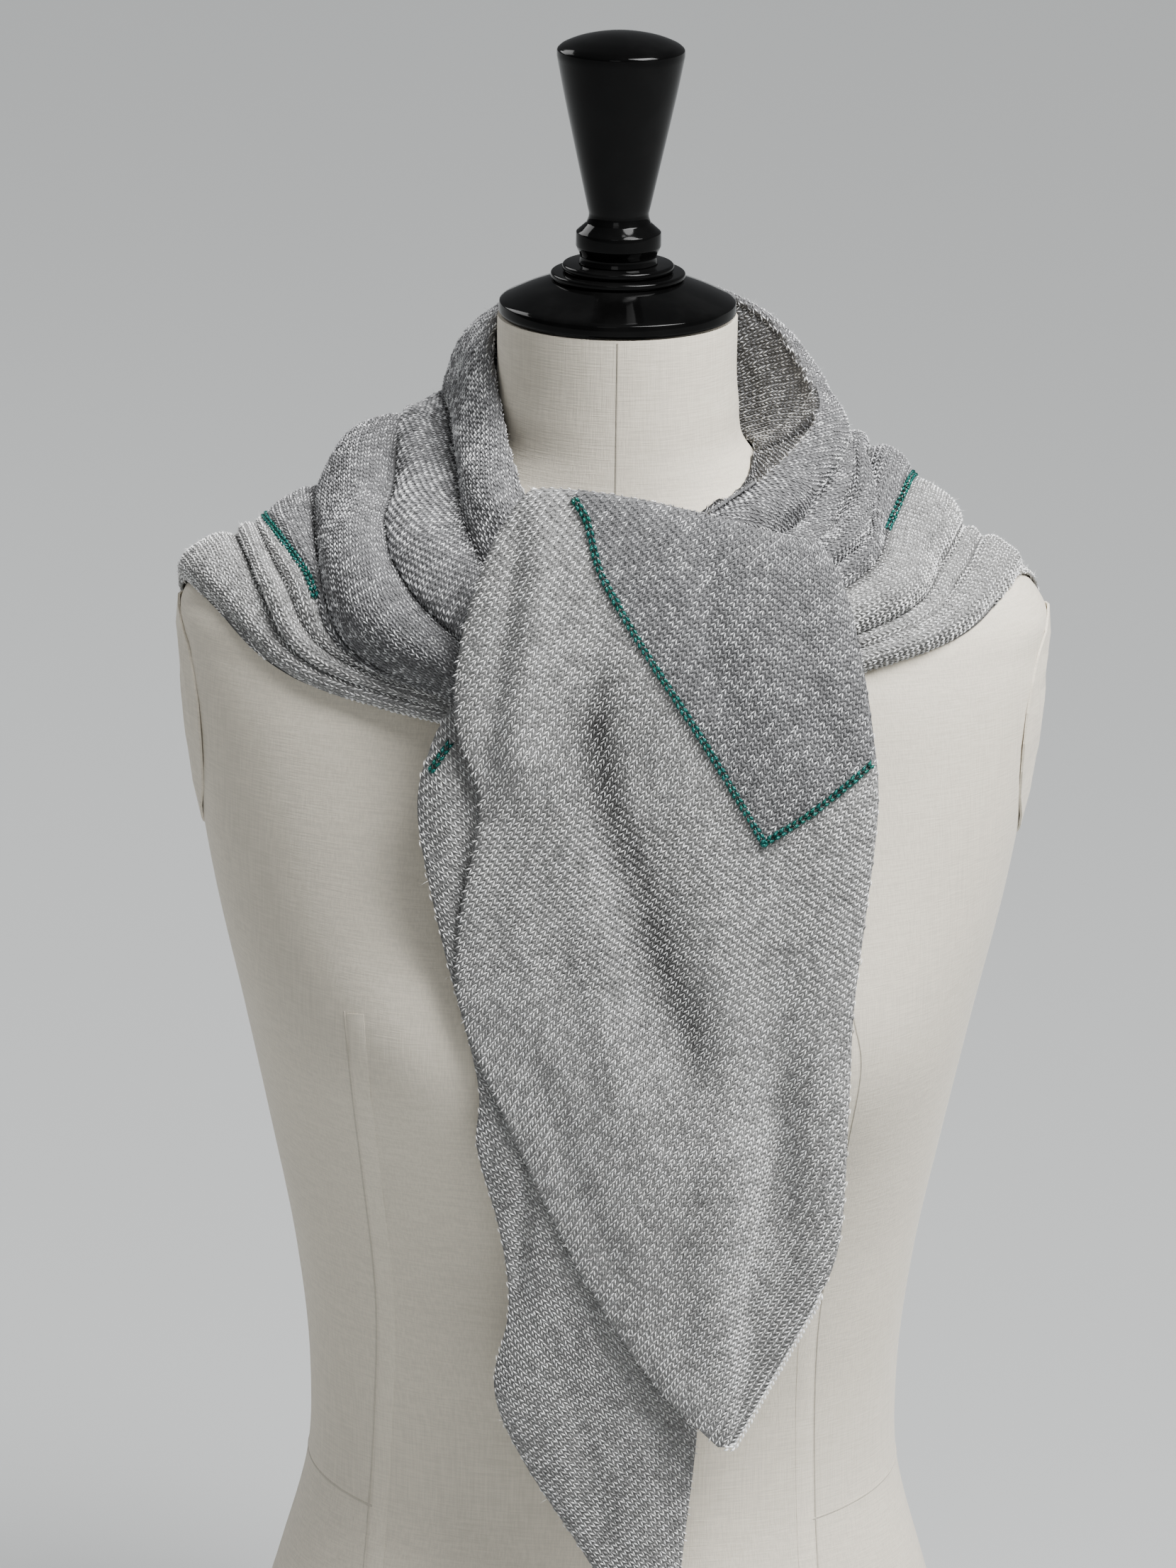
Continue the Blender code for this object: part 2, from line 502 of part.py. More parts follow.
def build_plate(name, side, torso_tree, material, collection):
    """An oval plate that lies on the side of the torso and follows its swell."""
    inner = np.zeros((PLATE_RINGS, PLATE_SPOKES + 1, 3))
    for ring in range(PLATE_RINGS):
        reach = (ring + 1) / PLATE_RINGS
        for spoke in range(PLATE_SPOKES + 1):
            angle = 2.0 * math.pi * spoke / PLATE_SPOKES
            depth = PLATE_HALF_DEPTH * reach * math.cos(angle)
            height = PLATE_HEIGHT + PLATE_HALF_HEIGHT * reach * math.sin(angle)
            hit = torso_tree.ray_cast(Vector((side * FAR, depth, height)), Vector((-side, 0.0, 0.0)))[0]
            inner[ring, spoke] = (hit.x, depth, height)
    lift_clear(inner, torso_tree, PLATE_CLEARANCE)
    inner = inner[:, :-1]
    outer = inner.copy()
    thickness = np.linspace(PLATE_THICKNESS, PLATE_RIM, PLATE_RINGS)
    outer[..., 0] += side * thickness[:, None]
    middles = [grid[0].mean(axis=0) for grid in (inner, outer)]
    middles[0][0] = inner[0, :, 0].mean() + side * PLATE_RIM / 2.0
    points = [tuple(point) for grid in (inner, outer) for point in grid.reshape(-1, 3)]
    points += [tuple(middle) for middle in middles]
    total = PLATE_RINGS * PLATE_SPOKES
    rim = total - PLATE_SPOKES
    faces = []
    for spoke in range(PLATE_SPOKES):
        following = (spoke + 1) % PLATE_SPOKES
        for layer, offset in enumerate((0, total)):
            faces.append((2 * total + layer, offset + spoke, offset + following))
            for low in range(offset, offset + rim, PLATE_SPOKES):
                faces.append((low + spoke, low + PLATE_SPOKES + spoke,
                              low + PLATE_SPOKES + following, low + following))
        faces.append((rim + spoke, total + rim + spoke, total + rim + following, rim + following))
    add_mesh(name, points, faces, material, collection)


def build_turned(name, profile, material, collection):
    """A turned piece: its half profile swept round the Z axis with Screw."""
    mesh = bpy.data.meshes.new(name)
    points = [(radius * CM, 0.0, height * CM) for radius, height in profile]
    mesh.from_pydata(points, [(index, index + 1) for index in range(len(points) - 1)], [])
    mesh.materials.append(material)
    thing = bpy.data.objects.new(name, mesh)
    collection.objects.link(thing)
    screw = thing.modifiers.new("Turn", "SCREW")
    screw.axis = "Z"
    screw.steps = TURNED_STEPS
    screw.render_steps = TURNED_STEPS
    screw.use_merge_vertices = True
    screw.merge_threshold = 0.00005
    screw.use_smooth_shade = True
    screw.use_normal_calculate = True


# ------------------------------------------------------------------ worn cloth
def resample(values, places):
    """Rows of an array at places between them."""
    values = np.asarray(values, dtype=float)
    return np.array([np.interp(places, range(len(values)), column) for column in values.T]).T


def crease_path(crease, behind, side):
    """The way of one crease on one side, from the centre back to the tie."""
    mirror = np.array([side, 1.0, 1.0])
    stations = (np.array(behind.centre), mirror * behind.beside, mirror * behind.blade,
                crease.shoulder, crease.high, crease.low, crease.tie)
    path = smooth_rows(stations, (len(stations) - 1) * STATION_STEPS + 1, not behind.pointed)
    return resample(path, station_places() * STATION_STEPS)


def station_places():
    """Where the sections lie along the stations: close behind the shoulder, then in front."""
    behind = np.linspace(0.0, SHOULDER_STATION, BACK_STEPS)
    front = np.linspace(SHOULDER_STATION, LAST_STATION, WRAP_STEPS)
    return np.concatenate((behind, front[1:]))


def roll_rise(roll):
    """Height of a roll at each section."""
    heights = (roll.back, roll.back, roll.back, roll.shoulder, roll.high, roll.low, roll.tie)
    return resample([[height] for height in heights], station_places())


def rolled_grid(creases, rolls, behind, side, torso_tree):
    """Grid of one side of the worn cloth: rows from centre back to tie, columns neck to edge."""
    paths = np.array([crease_path(crease, after, side) for crease, after in zip(creases, behind)])
    columns = []
    for index, roll in enumerate(rolls):
        inner = paths[index]
        outer = paths[index + 1]
        chord = outer - inner
        width = np.linalg.norm(chord, axis=1, keepdims=True)
        way = np.gradient((inner + outer) / 2.0, axis=0)
        normal = np.cross(way, chord) * side
        normal /= np.maximum(np.linalg.norm(normal, axis=1, keepdims=True), 1e-9)
        rise = np.minimum(roll_rise(roll), ROLL_STEEPNESS * width)
        for step in range(ROLL_STRIPS[index]):
            part = step / ROLL_STRIPS[index]
            hump = math.sin(math.pi * part) ** ROLL_FULLNESS
            lean = roll.lean * rise * hump / np.maximum(width, 1e-9)
            columns.append(inner + chord * (part + lean) + normal * rise * hump)
    columns.append(paths[-1])
    grid = np.stack(columns, axis=1)
    clearance = CLOTH / 2.0 + CLOTH_CLEARANCE
    push_out(grid[:BACK_PUSHED], torso_tree, clearance, 1.0)
    lift_clear(grid, torso_tree, clearance)
    return grid


def open_seam(grid, rows, columns):
    """Cut a block out of a grid and draw its cut sides back by half a seam gap."""
    first_row, last_row = rows
    first_column, last_column = columns
    block = grid[first_row:last_row + 1, first_column:last_column + 1].copy()
    if first_row > 0:
        block[0] += draw_back(block[0], block[1])
    if last_row < grid.shape[0] - 1:
        block[-1] += draw_back(block[-1], block[-2])
    if first_column > 0:
        block[:, 0] += draw_back(block[:, 0], block[:, 1])
    if last_column < grid.shape[1] - 1:
        block[:, -1] += draw_back(block[:, -1], block[:, -2])
    return block


def draw_back(edge, inside):
    """Step from an edge towards the row beside it, as long as its half of the seam."""
    step = inside - edge
    length = np.maximum(np.linalg.norm(step, axis=1, keepdims=True), 1e-9)
    return step / length * SEAM_HALF


def build_wraps(collection, torso_tree, knit):
    """Collar, both wraps and the back panel, from one grid round the neck."""
    left_behind = (LEFT_FOLD_BEHIND, *BACK_CREASES[1:])
    left = rolled_grid(LEFT_CREASES, LEFT_ROLLS, left_behind, -1.0, torso_tree)
    right = rolled_grid(RIGHT_CREASES, RIGHT_ROLLS, BACK_CREASES, 1.0, torso_tree)
    middle = (left[:1] + right[:1]) / 2.0
    whole = np.concatenate((left[:0:-1], middle, right[1:]))
    normals = grid_normals(whole)
    if normals[len(left) - 1, -2][1] < 0.0:
        normals = -normals
    shoulder_left = WRAP_STEPS - 1
    shoulder_right = len(whole) - WRAP_STEPS
    last_row = len(whole) - 1
    last_column = whole.shape[1] - 1
    collar_end = sum(ROLL_STRIPS[:COLLAR_CREASES])
    blocks = (
        ("scarf_wrap_left", (0, shoulder_left), (0, last_column)),
        ("scarf_collar", (shoulder_left, shoulder_right), (0, collar_end)),
        ("scarf_back_panel", (shoulder_left, shoulder_right), (collar_end, last_column)),
        ("scarf_wrap_right", (shoulder_right, last_row), (0, last_column)),
    )
    for name, rows, columns in blocks:
        block = open_seam(whole, rows, columns)
        block_normals = normals[rows[0]:rows[1] + 1, columns[0]:columns[1] + 1]
        cloth_body(name, block, block_normals, knit, collection)
    return whole, normals


def build_inner_collar(collection, whole, normals, torso_tree, knit):
    """Inner layer of the folded scarf, from the fold edge down to the foot of the neck."""
    rows = range(WRAP_STEPS - 1, len(whole) - WRAP_STEPS + INNER_FRONT_STEPS)
    grid = np.zeros((len(rows), INNER_STRIPS + 1, 3))
    for place, row in enumerate(rows):
        edge = whole[row, 0]
        turned = edge - normals[row, 0] * (CLOTH + CLOTH_CLEARANCE) - np.array([0.0, 0.0, SEAM_GAP])
        angle = math.atan2(edge[1], edge[0])
        foot = np.array([INNER_FOOT_HALF_WIDTH * math.cos(angle),
                         INNER_FOOT_HALF_DEPTH * math.sin(angle), INNER_FOOT_HEIGHT])
        outward = np.array([math.cos(angle), math.sin(angle), 0.0])
        for strip in range(INNER_STRIPS + 1):
            part = strip / INNER_STRIPS
            sag = INNER_BULGE * math.sin(math.pi * part)
            grid[place, strip] = turned * (1.0 - part) + foot * part + outward * sag
    lift_clear(grid, torso_tree, CLOTH / 2.0 + CLOTH_CLEARANCE)
    cloth_body("scarf_inner_collar", grid, grid_normals(grid), knit, collection)


def tail_grid(table, row_count, column_count):
    """Grid of a hanging end: rows down its length, columns from its left to its right edge."""
    numbers = np.array([row[1:] for row in table])
    rows = smooth_rows(numbers, row_count)
    grid = np.zeros((row_count, column_count, 3))
    for place, (left, left_height, right, right_height, crown, depth, curl, valley) in enumerate(rows):
        for column in range(column_count):
            part = column / (column_count - 1)
            swell = abs(2.0 * part - 1.0) ** CURL_TIGHTNESS
            dip = math.exp(-((part - VALLEY_PLACE) / VALLEY_WIDTH) ** 2)
            grid[place, column] = (left + (right - left) * part,
                                   -depth + curl * swell + valley * dip,
                                   left_height + (right_height - left_height) * part
                                   + crown * (1.0 - (2.0 * part ** CROWN_SKEW - 1.0) ** 2))
    return grid


def tie_end(row, inward):
    """Ring of points beside the end of a wrap: down in front of its creases, then up behind."""
    creases = row[[sum(ROLL_STRIPS[:index]) for index in range(len(ROLL_STRIPS) + 1)]]
    creases = creases + np.array([inward * TIE_END_GAP, 0.0, 0.0])
    places = (np.arange(len(creases)) + 0.5) / len(creases)
    depth = np.outer(np.sin(math.pi * places), (0.0, TIE_HALF_DEPTH, 0.0))
    return np.concatenate((creases - depth, (creases + depth)[::-1]))


def build_tie(collection, whole, knit):
    """The bunched band of the half knot, lofted between the ends of both wraps."""
    start = tie_end(whole[0], 1.0)
    end = tie_end(whole[-1], -1.0)
    rings = []
    for part in np.linspace(0.0, 1.0, TIE_SECTIONS):
        ring = start * (1.0 - part) + end * part
        centre = ring.mean(axis=0)
        ring = centre + (ring - centre) * (1.0 - TIE_BUNCHING * math.sin(math.pi * part))
        rings.append([tuple(point) for point in ring])
    points, faces = loft(rings)
    return add_mesh("scarf_tie", points, faces, knit, collection)


def trim_wall(name, inner, outward, material, collection):
    """A flat chain-stitch line whose inner face is the grid, three points wide."""
    outer = inner + outward[:, None, :] * TRIM_THICKNESS
    points, faces = wall(outer, inner)
    return add_mesh(name, points, faces, material, collection)


def trim_in_crease(name, faces_of_cloth, normals, cloth_tree, material, collection):
    """A line along a crease, from the crease's points and those beside it, moved out."""
    crease = faces_of_cloth[:, 1]
    inner = np.zeros((len(crease), 3, 3))
    for column in range(3):
        step = faces_of_cloth[:, column] - crease
        length = np.maximum(np.linalg.norm(step, axis=1, keepdims=True), 1e-9)
        inner[:, column] = crease + step / length * TRIM_WIDTH / 2.0 + normals * TRIM_GAP
    lift_clear(inner, cloth_tree, TRIM_GAP)
    trim_wall(name, inner, normals, material, collection)


def trim_on_tail(name, outline, count, cloth_tree, material, collection):
    """A line along an (x, height) outline laid on the front of a hanging end."""
    rows = smooth_rows([(out, 0.0, height) for out, height in outline], count)
    way = np.gradient(rows, axis=0)
    across = np.cross(way, (0.0, -1.0, 0.0))
    across /= np.linalg.norm(across, axis=1, keepdims=True)
    inner = np.stack([rows + across * TRIM_WIDTH * share for share in (-0.5, 0.0, 0.5)], axis=1)
    for points in inner:
        hit = cloth_tree.ray_cast(Vector((points[1, 0], -FAR, points[1, 2])), Vector((0.0, 1.0, 0.0)))[0]
        points[:, 1] = hit.y
    push_out(inner, cloth_tree, TRIM_GAP, -1.0)
    outward = np.tile(np.array([0.0, -1.0, 0.0]), (count, 1))
    trim_wall(name, inner, outward, material, collection)


def build_trims(collection, whole, normals, teal):
    """The teal line where it shows: both shoulders, the back and the two ends."""
    cloths = [thing for thing in collection.objects if thing.name.startswith("scarf")]
    trees = {cloth.name: surface_tree([cloth]) for cloth in cloths}
    column = sum(ROLL_STRIPS[:BORDER_SEAM])
    outer = whole + normals * CLOTH / 2.0
    shoulder_left = WRAP_STEPS - 1
    shoulder_right = len(whole) - WRAP_STEPS
    runs = (("trim_wrap_left", "scarf_wrap_left", shoulder_left - LINE_LEFT_STEPS, shoulder_left - 1),
            ("trim_back", "scarf_back_panel", shoulder_left + 1, shoulder_right - 1),
            ("trim_wrap_right", "scarf_wrap_right", shoulder_right + 1, shoulder_right + LINE_RIGHT_STEPS))
    for name, cloth, start, end in runs:
        trim_in_crease(name, outer[start:end + 1, column - 1:column + 2], normals[start:end + 1, column],
                       trees[cloth], teal, collection)
    lines = (("trim_front_long", "scarf_front_tail", FRONT_LINE, 20),
             ("trim_front_short", "scarf_front_tail", FRONT_LINE_RETURN, 7),
             ("trim_under_tail", "scarf_under_tail", UNDER_LINE, 3))
    for name, cloth, outline, sections in lines:
        trim_on_tail(name, outline, sections, trees[cloth], teal, collection)


def build_scarf(collection, torso, knit, border_knit, teal):
    """Every stretch of the worn scarf."""
    torso_tree = surface_tree([torso])
    whole, normals = build_wraps(collection, torso_tree, knit)
    build_inner_collar(collection, whole, normals, torso_tree, knit)
    build_tie(collection, whole, knit)
    for name, table, rows, columns in (("scarf_under_tail", UNDER_TAIL, UNDER_ROWS, UNDER_COLUMNS),
                                       ("scarf_front_tail", FRONT_TAIL, TAIL_ROWS, TAIL_COLUMNS)):
        grid = tail_grid(table, rows, columns)
        behind = surface_tree([thing for thing in collection.objects if thing.name != "form_base_board"])
        seat(grid, behind, CLOTH / 2.0 + CLOTH_CLEARANCE)
        push_out(grid, behind, CLOTH / 2.0 + CLOTH_CLEARANCE, -1.0)
        end_normals = grid_normals(grid)
        if end_normals[rows // 2, columns // 2][1] > 0.0:
            end_normals = -end_normals
        cloth_body(name, grid, end_normals, border_knit, collection)
    build_trims(collection, whole, normals, teal)


def main():
    """Build the form, then the scarf that rests on it."""
    clear_scene()
    collection = new_collection("square_scarf")
    linen = make_material("unbleached_linen", (0.66, 0.63, 0.57), 0.9)
    lacquer = make_material("black_lacquer", (0.006, 0.006, 0.006), 0.08, coat=1.0)
    wood = make_material("base_wood", (0.45, 0.30, 0.17), 0.5)
    knit = make_material("centre_knit", (0.37, 0.37, 0.38), 0.95)
    border_knit = make_material("border_knit", (0.52, 0.53, 0.54), 0.95)
    teal = make_material("teal_chain_stitch", (0.01, 0.16, 0.14), 0.35, metallic=0.4)
    torso = build_form(collection, linen, lacquer, wood)
    build_scarf(collection, torso, knit, border_knit, teal)


main()
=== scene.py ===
"""Finish of a knitted square scarf, folded corner to corner and tied round the neck of a dress form.

The script is laid out as a Blender add-on and is run as a script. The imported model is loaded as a
fixed frame; each operator below dresses one group of its pieces. Tables are in centimetres, as the
model's own are, and meshes are in metres. The form faces -Y and stands on Z = 0.
"""
import json
import math
from collections import namedtuple

import bmesh
import bpy
import numpy as np
from bpy.props import FloatProperty, FloatVectorProperty, IntProperty, PointerProperty
from mathutils import Euler, Matrix, Vector
from mathutils.bvhtree import BVHTree

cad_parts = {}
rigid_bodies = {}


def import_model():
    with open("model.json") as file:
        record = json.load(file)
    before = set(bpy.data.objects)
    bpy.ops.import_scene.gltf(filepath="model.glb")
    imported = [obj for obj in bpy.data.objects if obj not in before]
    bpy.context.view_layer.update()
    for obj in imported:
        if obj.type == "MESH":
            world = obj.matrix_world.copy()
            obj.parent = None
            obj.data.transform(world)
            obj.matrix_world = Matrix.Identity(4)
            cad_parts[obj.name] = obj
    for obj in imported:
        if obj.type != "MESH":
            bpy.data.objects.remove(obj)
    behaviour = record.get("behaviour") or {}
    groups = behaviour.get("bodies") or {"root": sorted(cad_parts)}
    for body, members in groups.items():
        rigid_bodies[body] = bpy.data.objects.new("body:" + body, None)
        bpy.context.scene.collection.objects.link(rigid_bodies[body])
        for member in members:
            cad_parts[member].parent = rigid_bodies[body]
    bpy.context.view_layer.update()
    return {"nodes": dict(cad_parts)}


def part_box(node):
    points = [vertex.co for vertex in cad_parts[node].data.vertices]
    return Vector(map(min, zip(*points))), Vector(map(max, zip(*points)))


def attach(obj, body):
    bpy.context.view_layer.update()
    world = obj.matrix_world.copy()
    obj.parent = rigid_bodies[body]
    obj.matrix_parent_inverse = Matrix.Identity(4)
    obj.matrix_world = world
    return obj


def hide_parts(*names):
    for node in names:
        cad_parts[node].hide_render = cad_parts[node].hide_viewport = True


bl_info = {
    "name": "Knitted Square Scarf",
    "version": (1, 0, 0),
    "blender": (4, 5, 0),
    "location": "View3D > Sidebar > Scarf",
    "description": "Dresses a square knitted scarf and the dress form that it rests on",
    "category": "Object",
}

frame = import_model()

CM = 0.01                     # metres in a centimetre
BODY = "root"
FAR = 40.0                    # cm, from outside every piece


def table(kind, rows):
    """A table whose rows have named columns."""
    return tuple(kind(*row) for row in rows)


# ------------------------------------------------------------------ dress form (cm)
NECK_TOP = 79.0
Section = namedtuple("Section", "height half_width front back squareness")
TORSO = table(Section, (
    (1.23, 17.6, 10.6, 11.6, 2.15),     # lower edge
    (8.0, 17.7, 11.0, 11.9, 2.15),      # hip
    (15.0, 16.5, 10.6, 10.4, 2.15),
    (20.0, 15.0, 9.8, 8.9, 2.15),
    (25.5, 13.6, 8.8, 7.8, 2.20),       # waist seam
    (30.0, 13.5, 8.9, 7.6, 2.20),       # narrowest
    (36.0, 14.1, 10.0, 8.0, 2.20),
    (42.0, 15.2, 11.2, 8.8, 2.25),
    (48.0, 16.4, 12.0, 9.5, 2.30),      # bust
    (54.0, 17.7, 11.6, 9.9, 2.35),
    (60.0, 18.6, 10.4, 9.6, 2.40),
    (64.5, 19.0, 9.0, 8.6, 2.40),
    (66.4, 18.9, 8.1, 7.9, 2.35),       # shoulder tip
    (67.5, 17.9, 7.5, 7.4, 2.30),
    (69.0, 14.2, 6.7, 6.8, 2.20),
    (70.6, 10.3, 6.0, 6.4, 2.10),
    (71.9, 7.2, 5.6, 6.0, 2.00),        # foot of the neck
    (73.2, 5.8, 5.4, 5.6, 2.00),
    (75.5, 5.3, 5.2, 5.3, 2.00),
    (NECK_TOP, 5.2, 5.1, 5.2, 2.00),
))
BUST_SECTION = 48.0
BUST_OUT = 9.5                # each side of the centre line
BUST_HEIGHT = 49.0
BUST_RISE = 1.5
BUST_SPREAD = 5.5
OUTLINE_STEPS = 2000          # short steps that a section's length is measured by
TORSO_COLUMNS = 176
TORSO_ROWS = 190
CLOSER_ROWS = 64.0            # height above which the rows lie closer

# Turned profiles, radius and height, from the axis at the top round to the axis below. A row
# marked soft is a point of a flowing curve; the others are arrises.
Turn = namedtuple("Turn", "radius height soft")
KNOB = table(Turn, (
    (0.0, 91.30, True), (0.9, 91.24, True), (1.8, 91.05, True), (2.45, 90.80, True),
    (2.70, 90.62, False), (2.75, 90.54, False), (2.75, 90.30, False),
    (2.42, 88.60, True), (1.86, 86.00, True), (1.40, 83.90, True), (1.30, 83.40, True),
    (1.40, 83.05, False), (1.70, 82.78, False), (1.84, 82.66, False), (1.85, 82.05, False),
    (1.78, 81.90, False), (1.66, 81.60, True), (1.72, 81.31, False), (0.0, 81.31, False),
))
UPPER_RING = table(Turn, (
    (0.0, 81.28, False), (2.34, 81.28, False), (2.42, 81.21, False), (2.42, 81.03, False),
    (2.34, 80.95, False), (0.0, 80.95, False),
))
LOWER_RING = table(Turn, (
    (0.0, 80.92, False), (2.84, 80.92, False), (2.92, 80.86, False), (2.92, 80.69, False),
    (2.84, 80.61, False), (0.0, 80.61, False),
))
CAP = table(Turn, (
    (0.0, 80.58, False), (2.90, 80.58, False), (4.0, 80.17, True), (4.98, 79.72, False),
    (5.13, 79.62, False), (5.16, 79.20, False), (5.08, 79.03, False), (0.0, 79.03, False),
))

SOFT_STEPS = 7                # that a soft stretch is made of
EASE = 0.00035                # of the turned pieces' arrises, m

# Seams of the linen cover, as how far out and how high.
LEFT_PRINCESS = (
    (-11.4, 50.7), (-10.8, 43.3), (-10.2, 35.9), (-10.3, 29.9), (-10.6, 24.5), (-11.4, 14.0), (-11.8, 2.0),
)
RIGHT_PRINCESS = (
    (10.5, 50.9), (10.9, 48.5), (10.5, 44.6), (10.0, 39.6), (9.5, 33.7), (9.7, 24.5), (10.6, 14.0),
    (11.0, 2.0),
)
BACK_PRINCESS_SHARE = 0.72    # the back seams lie nearer the middle
BACK_PRINCESS_RISE = 6.0
CENTRE_SEAM_FOOT = 26.2
CENTRE_SEAM_POINTS = 150
PRINCESS_SEAM_POINTS = 90
WAIST_HEIGHT = 25.5
WAIST_DIP = -0.9              # the waist seam dips in front
WAIST_ENDS = (-10.25, 9.25)   # it ends at the front princess seams
TAPE_OFFSET = 0.50            # of the tape beside each front princess seam
Strip = namedtuple("Strip", "width sink thickness")
SEAM_STRIP = Strip(0.10, -0.010, 0.035)
TAPE_STRIP = Strip(0.85, -0.012, 0.05)
WAIST_STRIP = Strip(0.12, -0.010, 0.035)

# ------------------------------------------------------------------ worn cloth (cm)
CLOTH = 0.12                  # wall of the cloth
CLEARANCE = 0.09              # cloth wall to what it rests on

# Creases of the worn cloth, from the neck outwards, and the rolls that rise between them: how high
# each stands behind, over the shoulder, high and low on the chest and in the tie, how far it leans
# outwards, and how far the wales turn from its length, in degrees.
Roll = namedtuple("Roll", "name strips back shoulder high low tie lean wales")
LEFT_ROLLS = table(Roll, (
    ("neck roll", 11, 0.7, 0.40, 0.50, 0.60, 0.4, 0.0, 14.0),
    ("inner band", 11, 0.9, 0.20, 0.75, 0.85, 0.5, 0.9, 68.0),
    ("big roll", 16, 1.1, 0.95, 1.45, 1.30, 0.7, -0.1, 9.0),
    ("seam roll", 7, 0.3, 0.55, 0.32, 0.16, 0.05, 0.0, 0.0),
    ("first border pleat", 8, 0.35, 0.15, 0.28, 0.15, 0.03, 0.0, 0.0),
    ("second border pleat", 9, 0.40, 0.35, 0.66, 0.50, 0.05, 0.1, 0.0),
    ("outer panel", 13, 0.3, 0.70, 0.55, 0.30, 0.1, 0.0, 0.0),
))
RIGHT_ROLLS = table(Roll, (
    ("cowl roll", 11, 0.7, 0.50, 1.15, 1.15, 0.5, -0.25, 32.0),
    ("narrow roll", 11, 0.9, 0.40, 0.80, 0.70, 0.3, 0.15, 18.0),
    ("inner arc", 16, 1.2, 0.60, 1.20, 1.15, 0.4, 0.05, 12.0),
    ("outer arc", 7, 0.4, 0.95, 0.95, 0.70, 0.3, -0.1, 0.0),
    ("border panel", 8, 0.35, 0.50, 1.05, 1.10, 0.4, 0.1, 0.0),
    ("border pleat", 9, 0.40, 0.20, 0.45, 0.36, 0.1, 0.0, 0.0),
    ("outer panel", 13, 0.3, 0.40, 0.60, 0.55, 0.2, 0.0, 0.0),
))
Crease = namedtuple("Crease", "name shoulder high low tie")
LEFT_CREASES = table(Crease, (
    ("neck edge", (-5.65, 0.2, 77.7), (-5.0, -3.0, 74.9), (-4.3, -5.8, 73.2), (-3.3, -8.4, 71.4)),
    ("neck trough", (-7.1, 0.9, 73.7), (-6.7, -4.3, 72.0), (-6.0, -7.2, 70.7), (-4.4, -10.0, 68.4)),
    ("deep hollow", (-9.4, 1.6, 73.7), (-9.8, -3.9, 70.6), (-8.4, -7.7, 68.5), (-5.4, -10.7, 66.4)),
    ("under big roll", (-13.0, 1.2, 70.5), (-12.6, -5.3, 68.5), (-11.1, -8.0, 65.9),
     (-6.1, -10.8, 64.8)),
    ("border seam", (-15.3, 0.9, 69.4), (-13.2, -5.1, 68.6), (-11.6, -7.7, 66.0), (-6.2, -10.6, 64.5)),
    ("first pleat", (-15.7, 0.8, 69.1), (-14.1, -5.0, 68.0), (-12.2, -7.4, 65.8), (-6.2, -10.5, 64.2)),
    ("second pleat", (-16.5, 0.6, 68.5), (-15.2, -4.5, 67.8), (-12.8, -7.3, 65.2), (-6.2, -10.4, 63.9)),
    ("outer edge", (-19.1, 0.0, 67.2), (-17.3, -3.7, 66.9), (-13.4, -7.3, 64.6), (-6.1, -10.4, 63.4)),
))
RIGHT_CREASES = table(Crease, (
    ("fold edge", (8.5, 1.2, 75.9), (8.7, -1.7, 74.7), (6.4, -5.3, 73.1), (3.4, -8.6, 71.8)),
    ("cowl hollow", (9.5, 1.4, 73.8), (9.2, -2.4, 72.3), (7.5, -6.6, 71.3), (3.8, -9.7, 69.8)),
    ("narrow trough", (9.9, 1.6, 73.0), (10.0, -3.0, 71.6), (8.9, -6.2, 70.7), (4.0, -9.9, 68.5)),
    ("arc trough", (10.9, 1.5, 72.6), (11.4, -2.2, 71.1), (10.2, -6.0, 70.0), (4.2, -10.2, 67.4)),
    ("border seam", (13.0, 1.5, 71.4), (11.8, -2.9, 70.4), (10.4, -6.6, 69.1), (4.3, -10.2, 66.6)),
    ("border trough", (15.3, 1.2, 69.2), (14.2, -3.2, 68.8), (12.3, -6.4, 67.5), (4.4, -10.1, 65.4)),
    ("outer pleat", (16.1, 0.8, 68.8), (15.0, -3.4, 68.3), (12.8, -6.6, 66.9), (4.4, -10.0, 64.9)),
    ("outer edge", (17.8, -0.4, 68.0), (16.6, -3.5, 67.5), (13.6, -6.6, 66.1), (4.4, -9.9, 64.2)),
))
# The same creases behind: depth and height at the centre of the back, then out, depth and height
# beside it and at the shoulder blade.
BackCrease = namedtuple("BackCrease", "name centre beside blade pointed")
BACK_CREASES = table(BackCrease, (
    ("fold edge", (0.0, 6.6, 79.1), (3.6, 6.3, 79.0), (6.8, 4.4, 77.9), False),
    ("neck trough", (0.0, 8.0, 75.0), (4.2, 7.4, 74.8), (7.4, 4.9, 74.3), False),
    ("upper trough", (0.0, 9.2, 71.6), (5.2, 8.3, 71.5), (8.6, 5.4, 72.2), False),
    ("under big roll", (0.0, 10.1, 67.0), (6.4, 9.4, 67.2), (11.2, 6.4, 69.0), False),
    ("border seam", (0.0, 10.6, 48.0), (7.5, 10.4, 57.6), (13.0, 8.2, 65.0), True),
    ("first pleat", (0.0, 10.6, 38.5), (8.0, 10.4, 53.0), (14.2, 8.0, 63.6), True),
    ("second pleat", (0.0, 10.6, 29.5), (8.6, 10.2, 48.6), (15.4, 7.6, 62.2), True),
    ("outer edge", (0.0, 10.6, 20.5), (9.4, 10.0, 43.6), (17.4, 6.4, 60.0), True),
))
LEFT_FOLD_BEHIND = BackCrease("fold edge", (0.0, 6.6, 79.1), (3.3, 5.8, 79.0), (5.0, 3.4, 78.5), False)
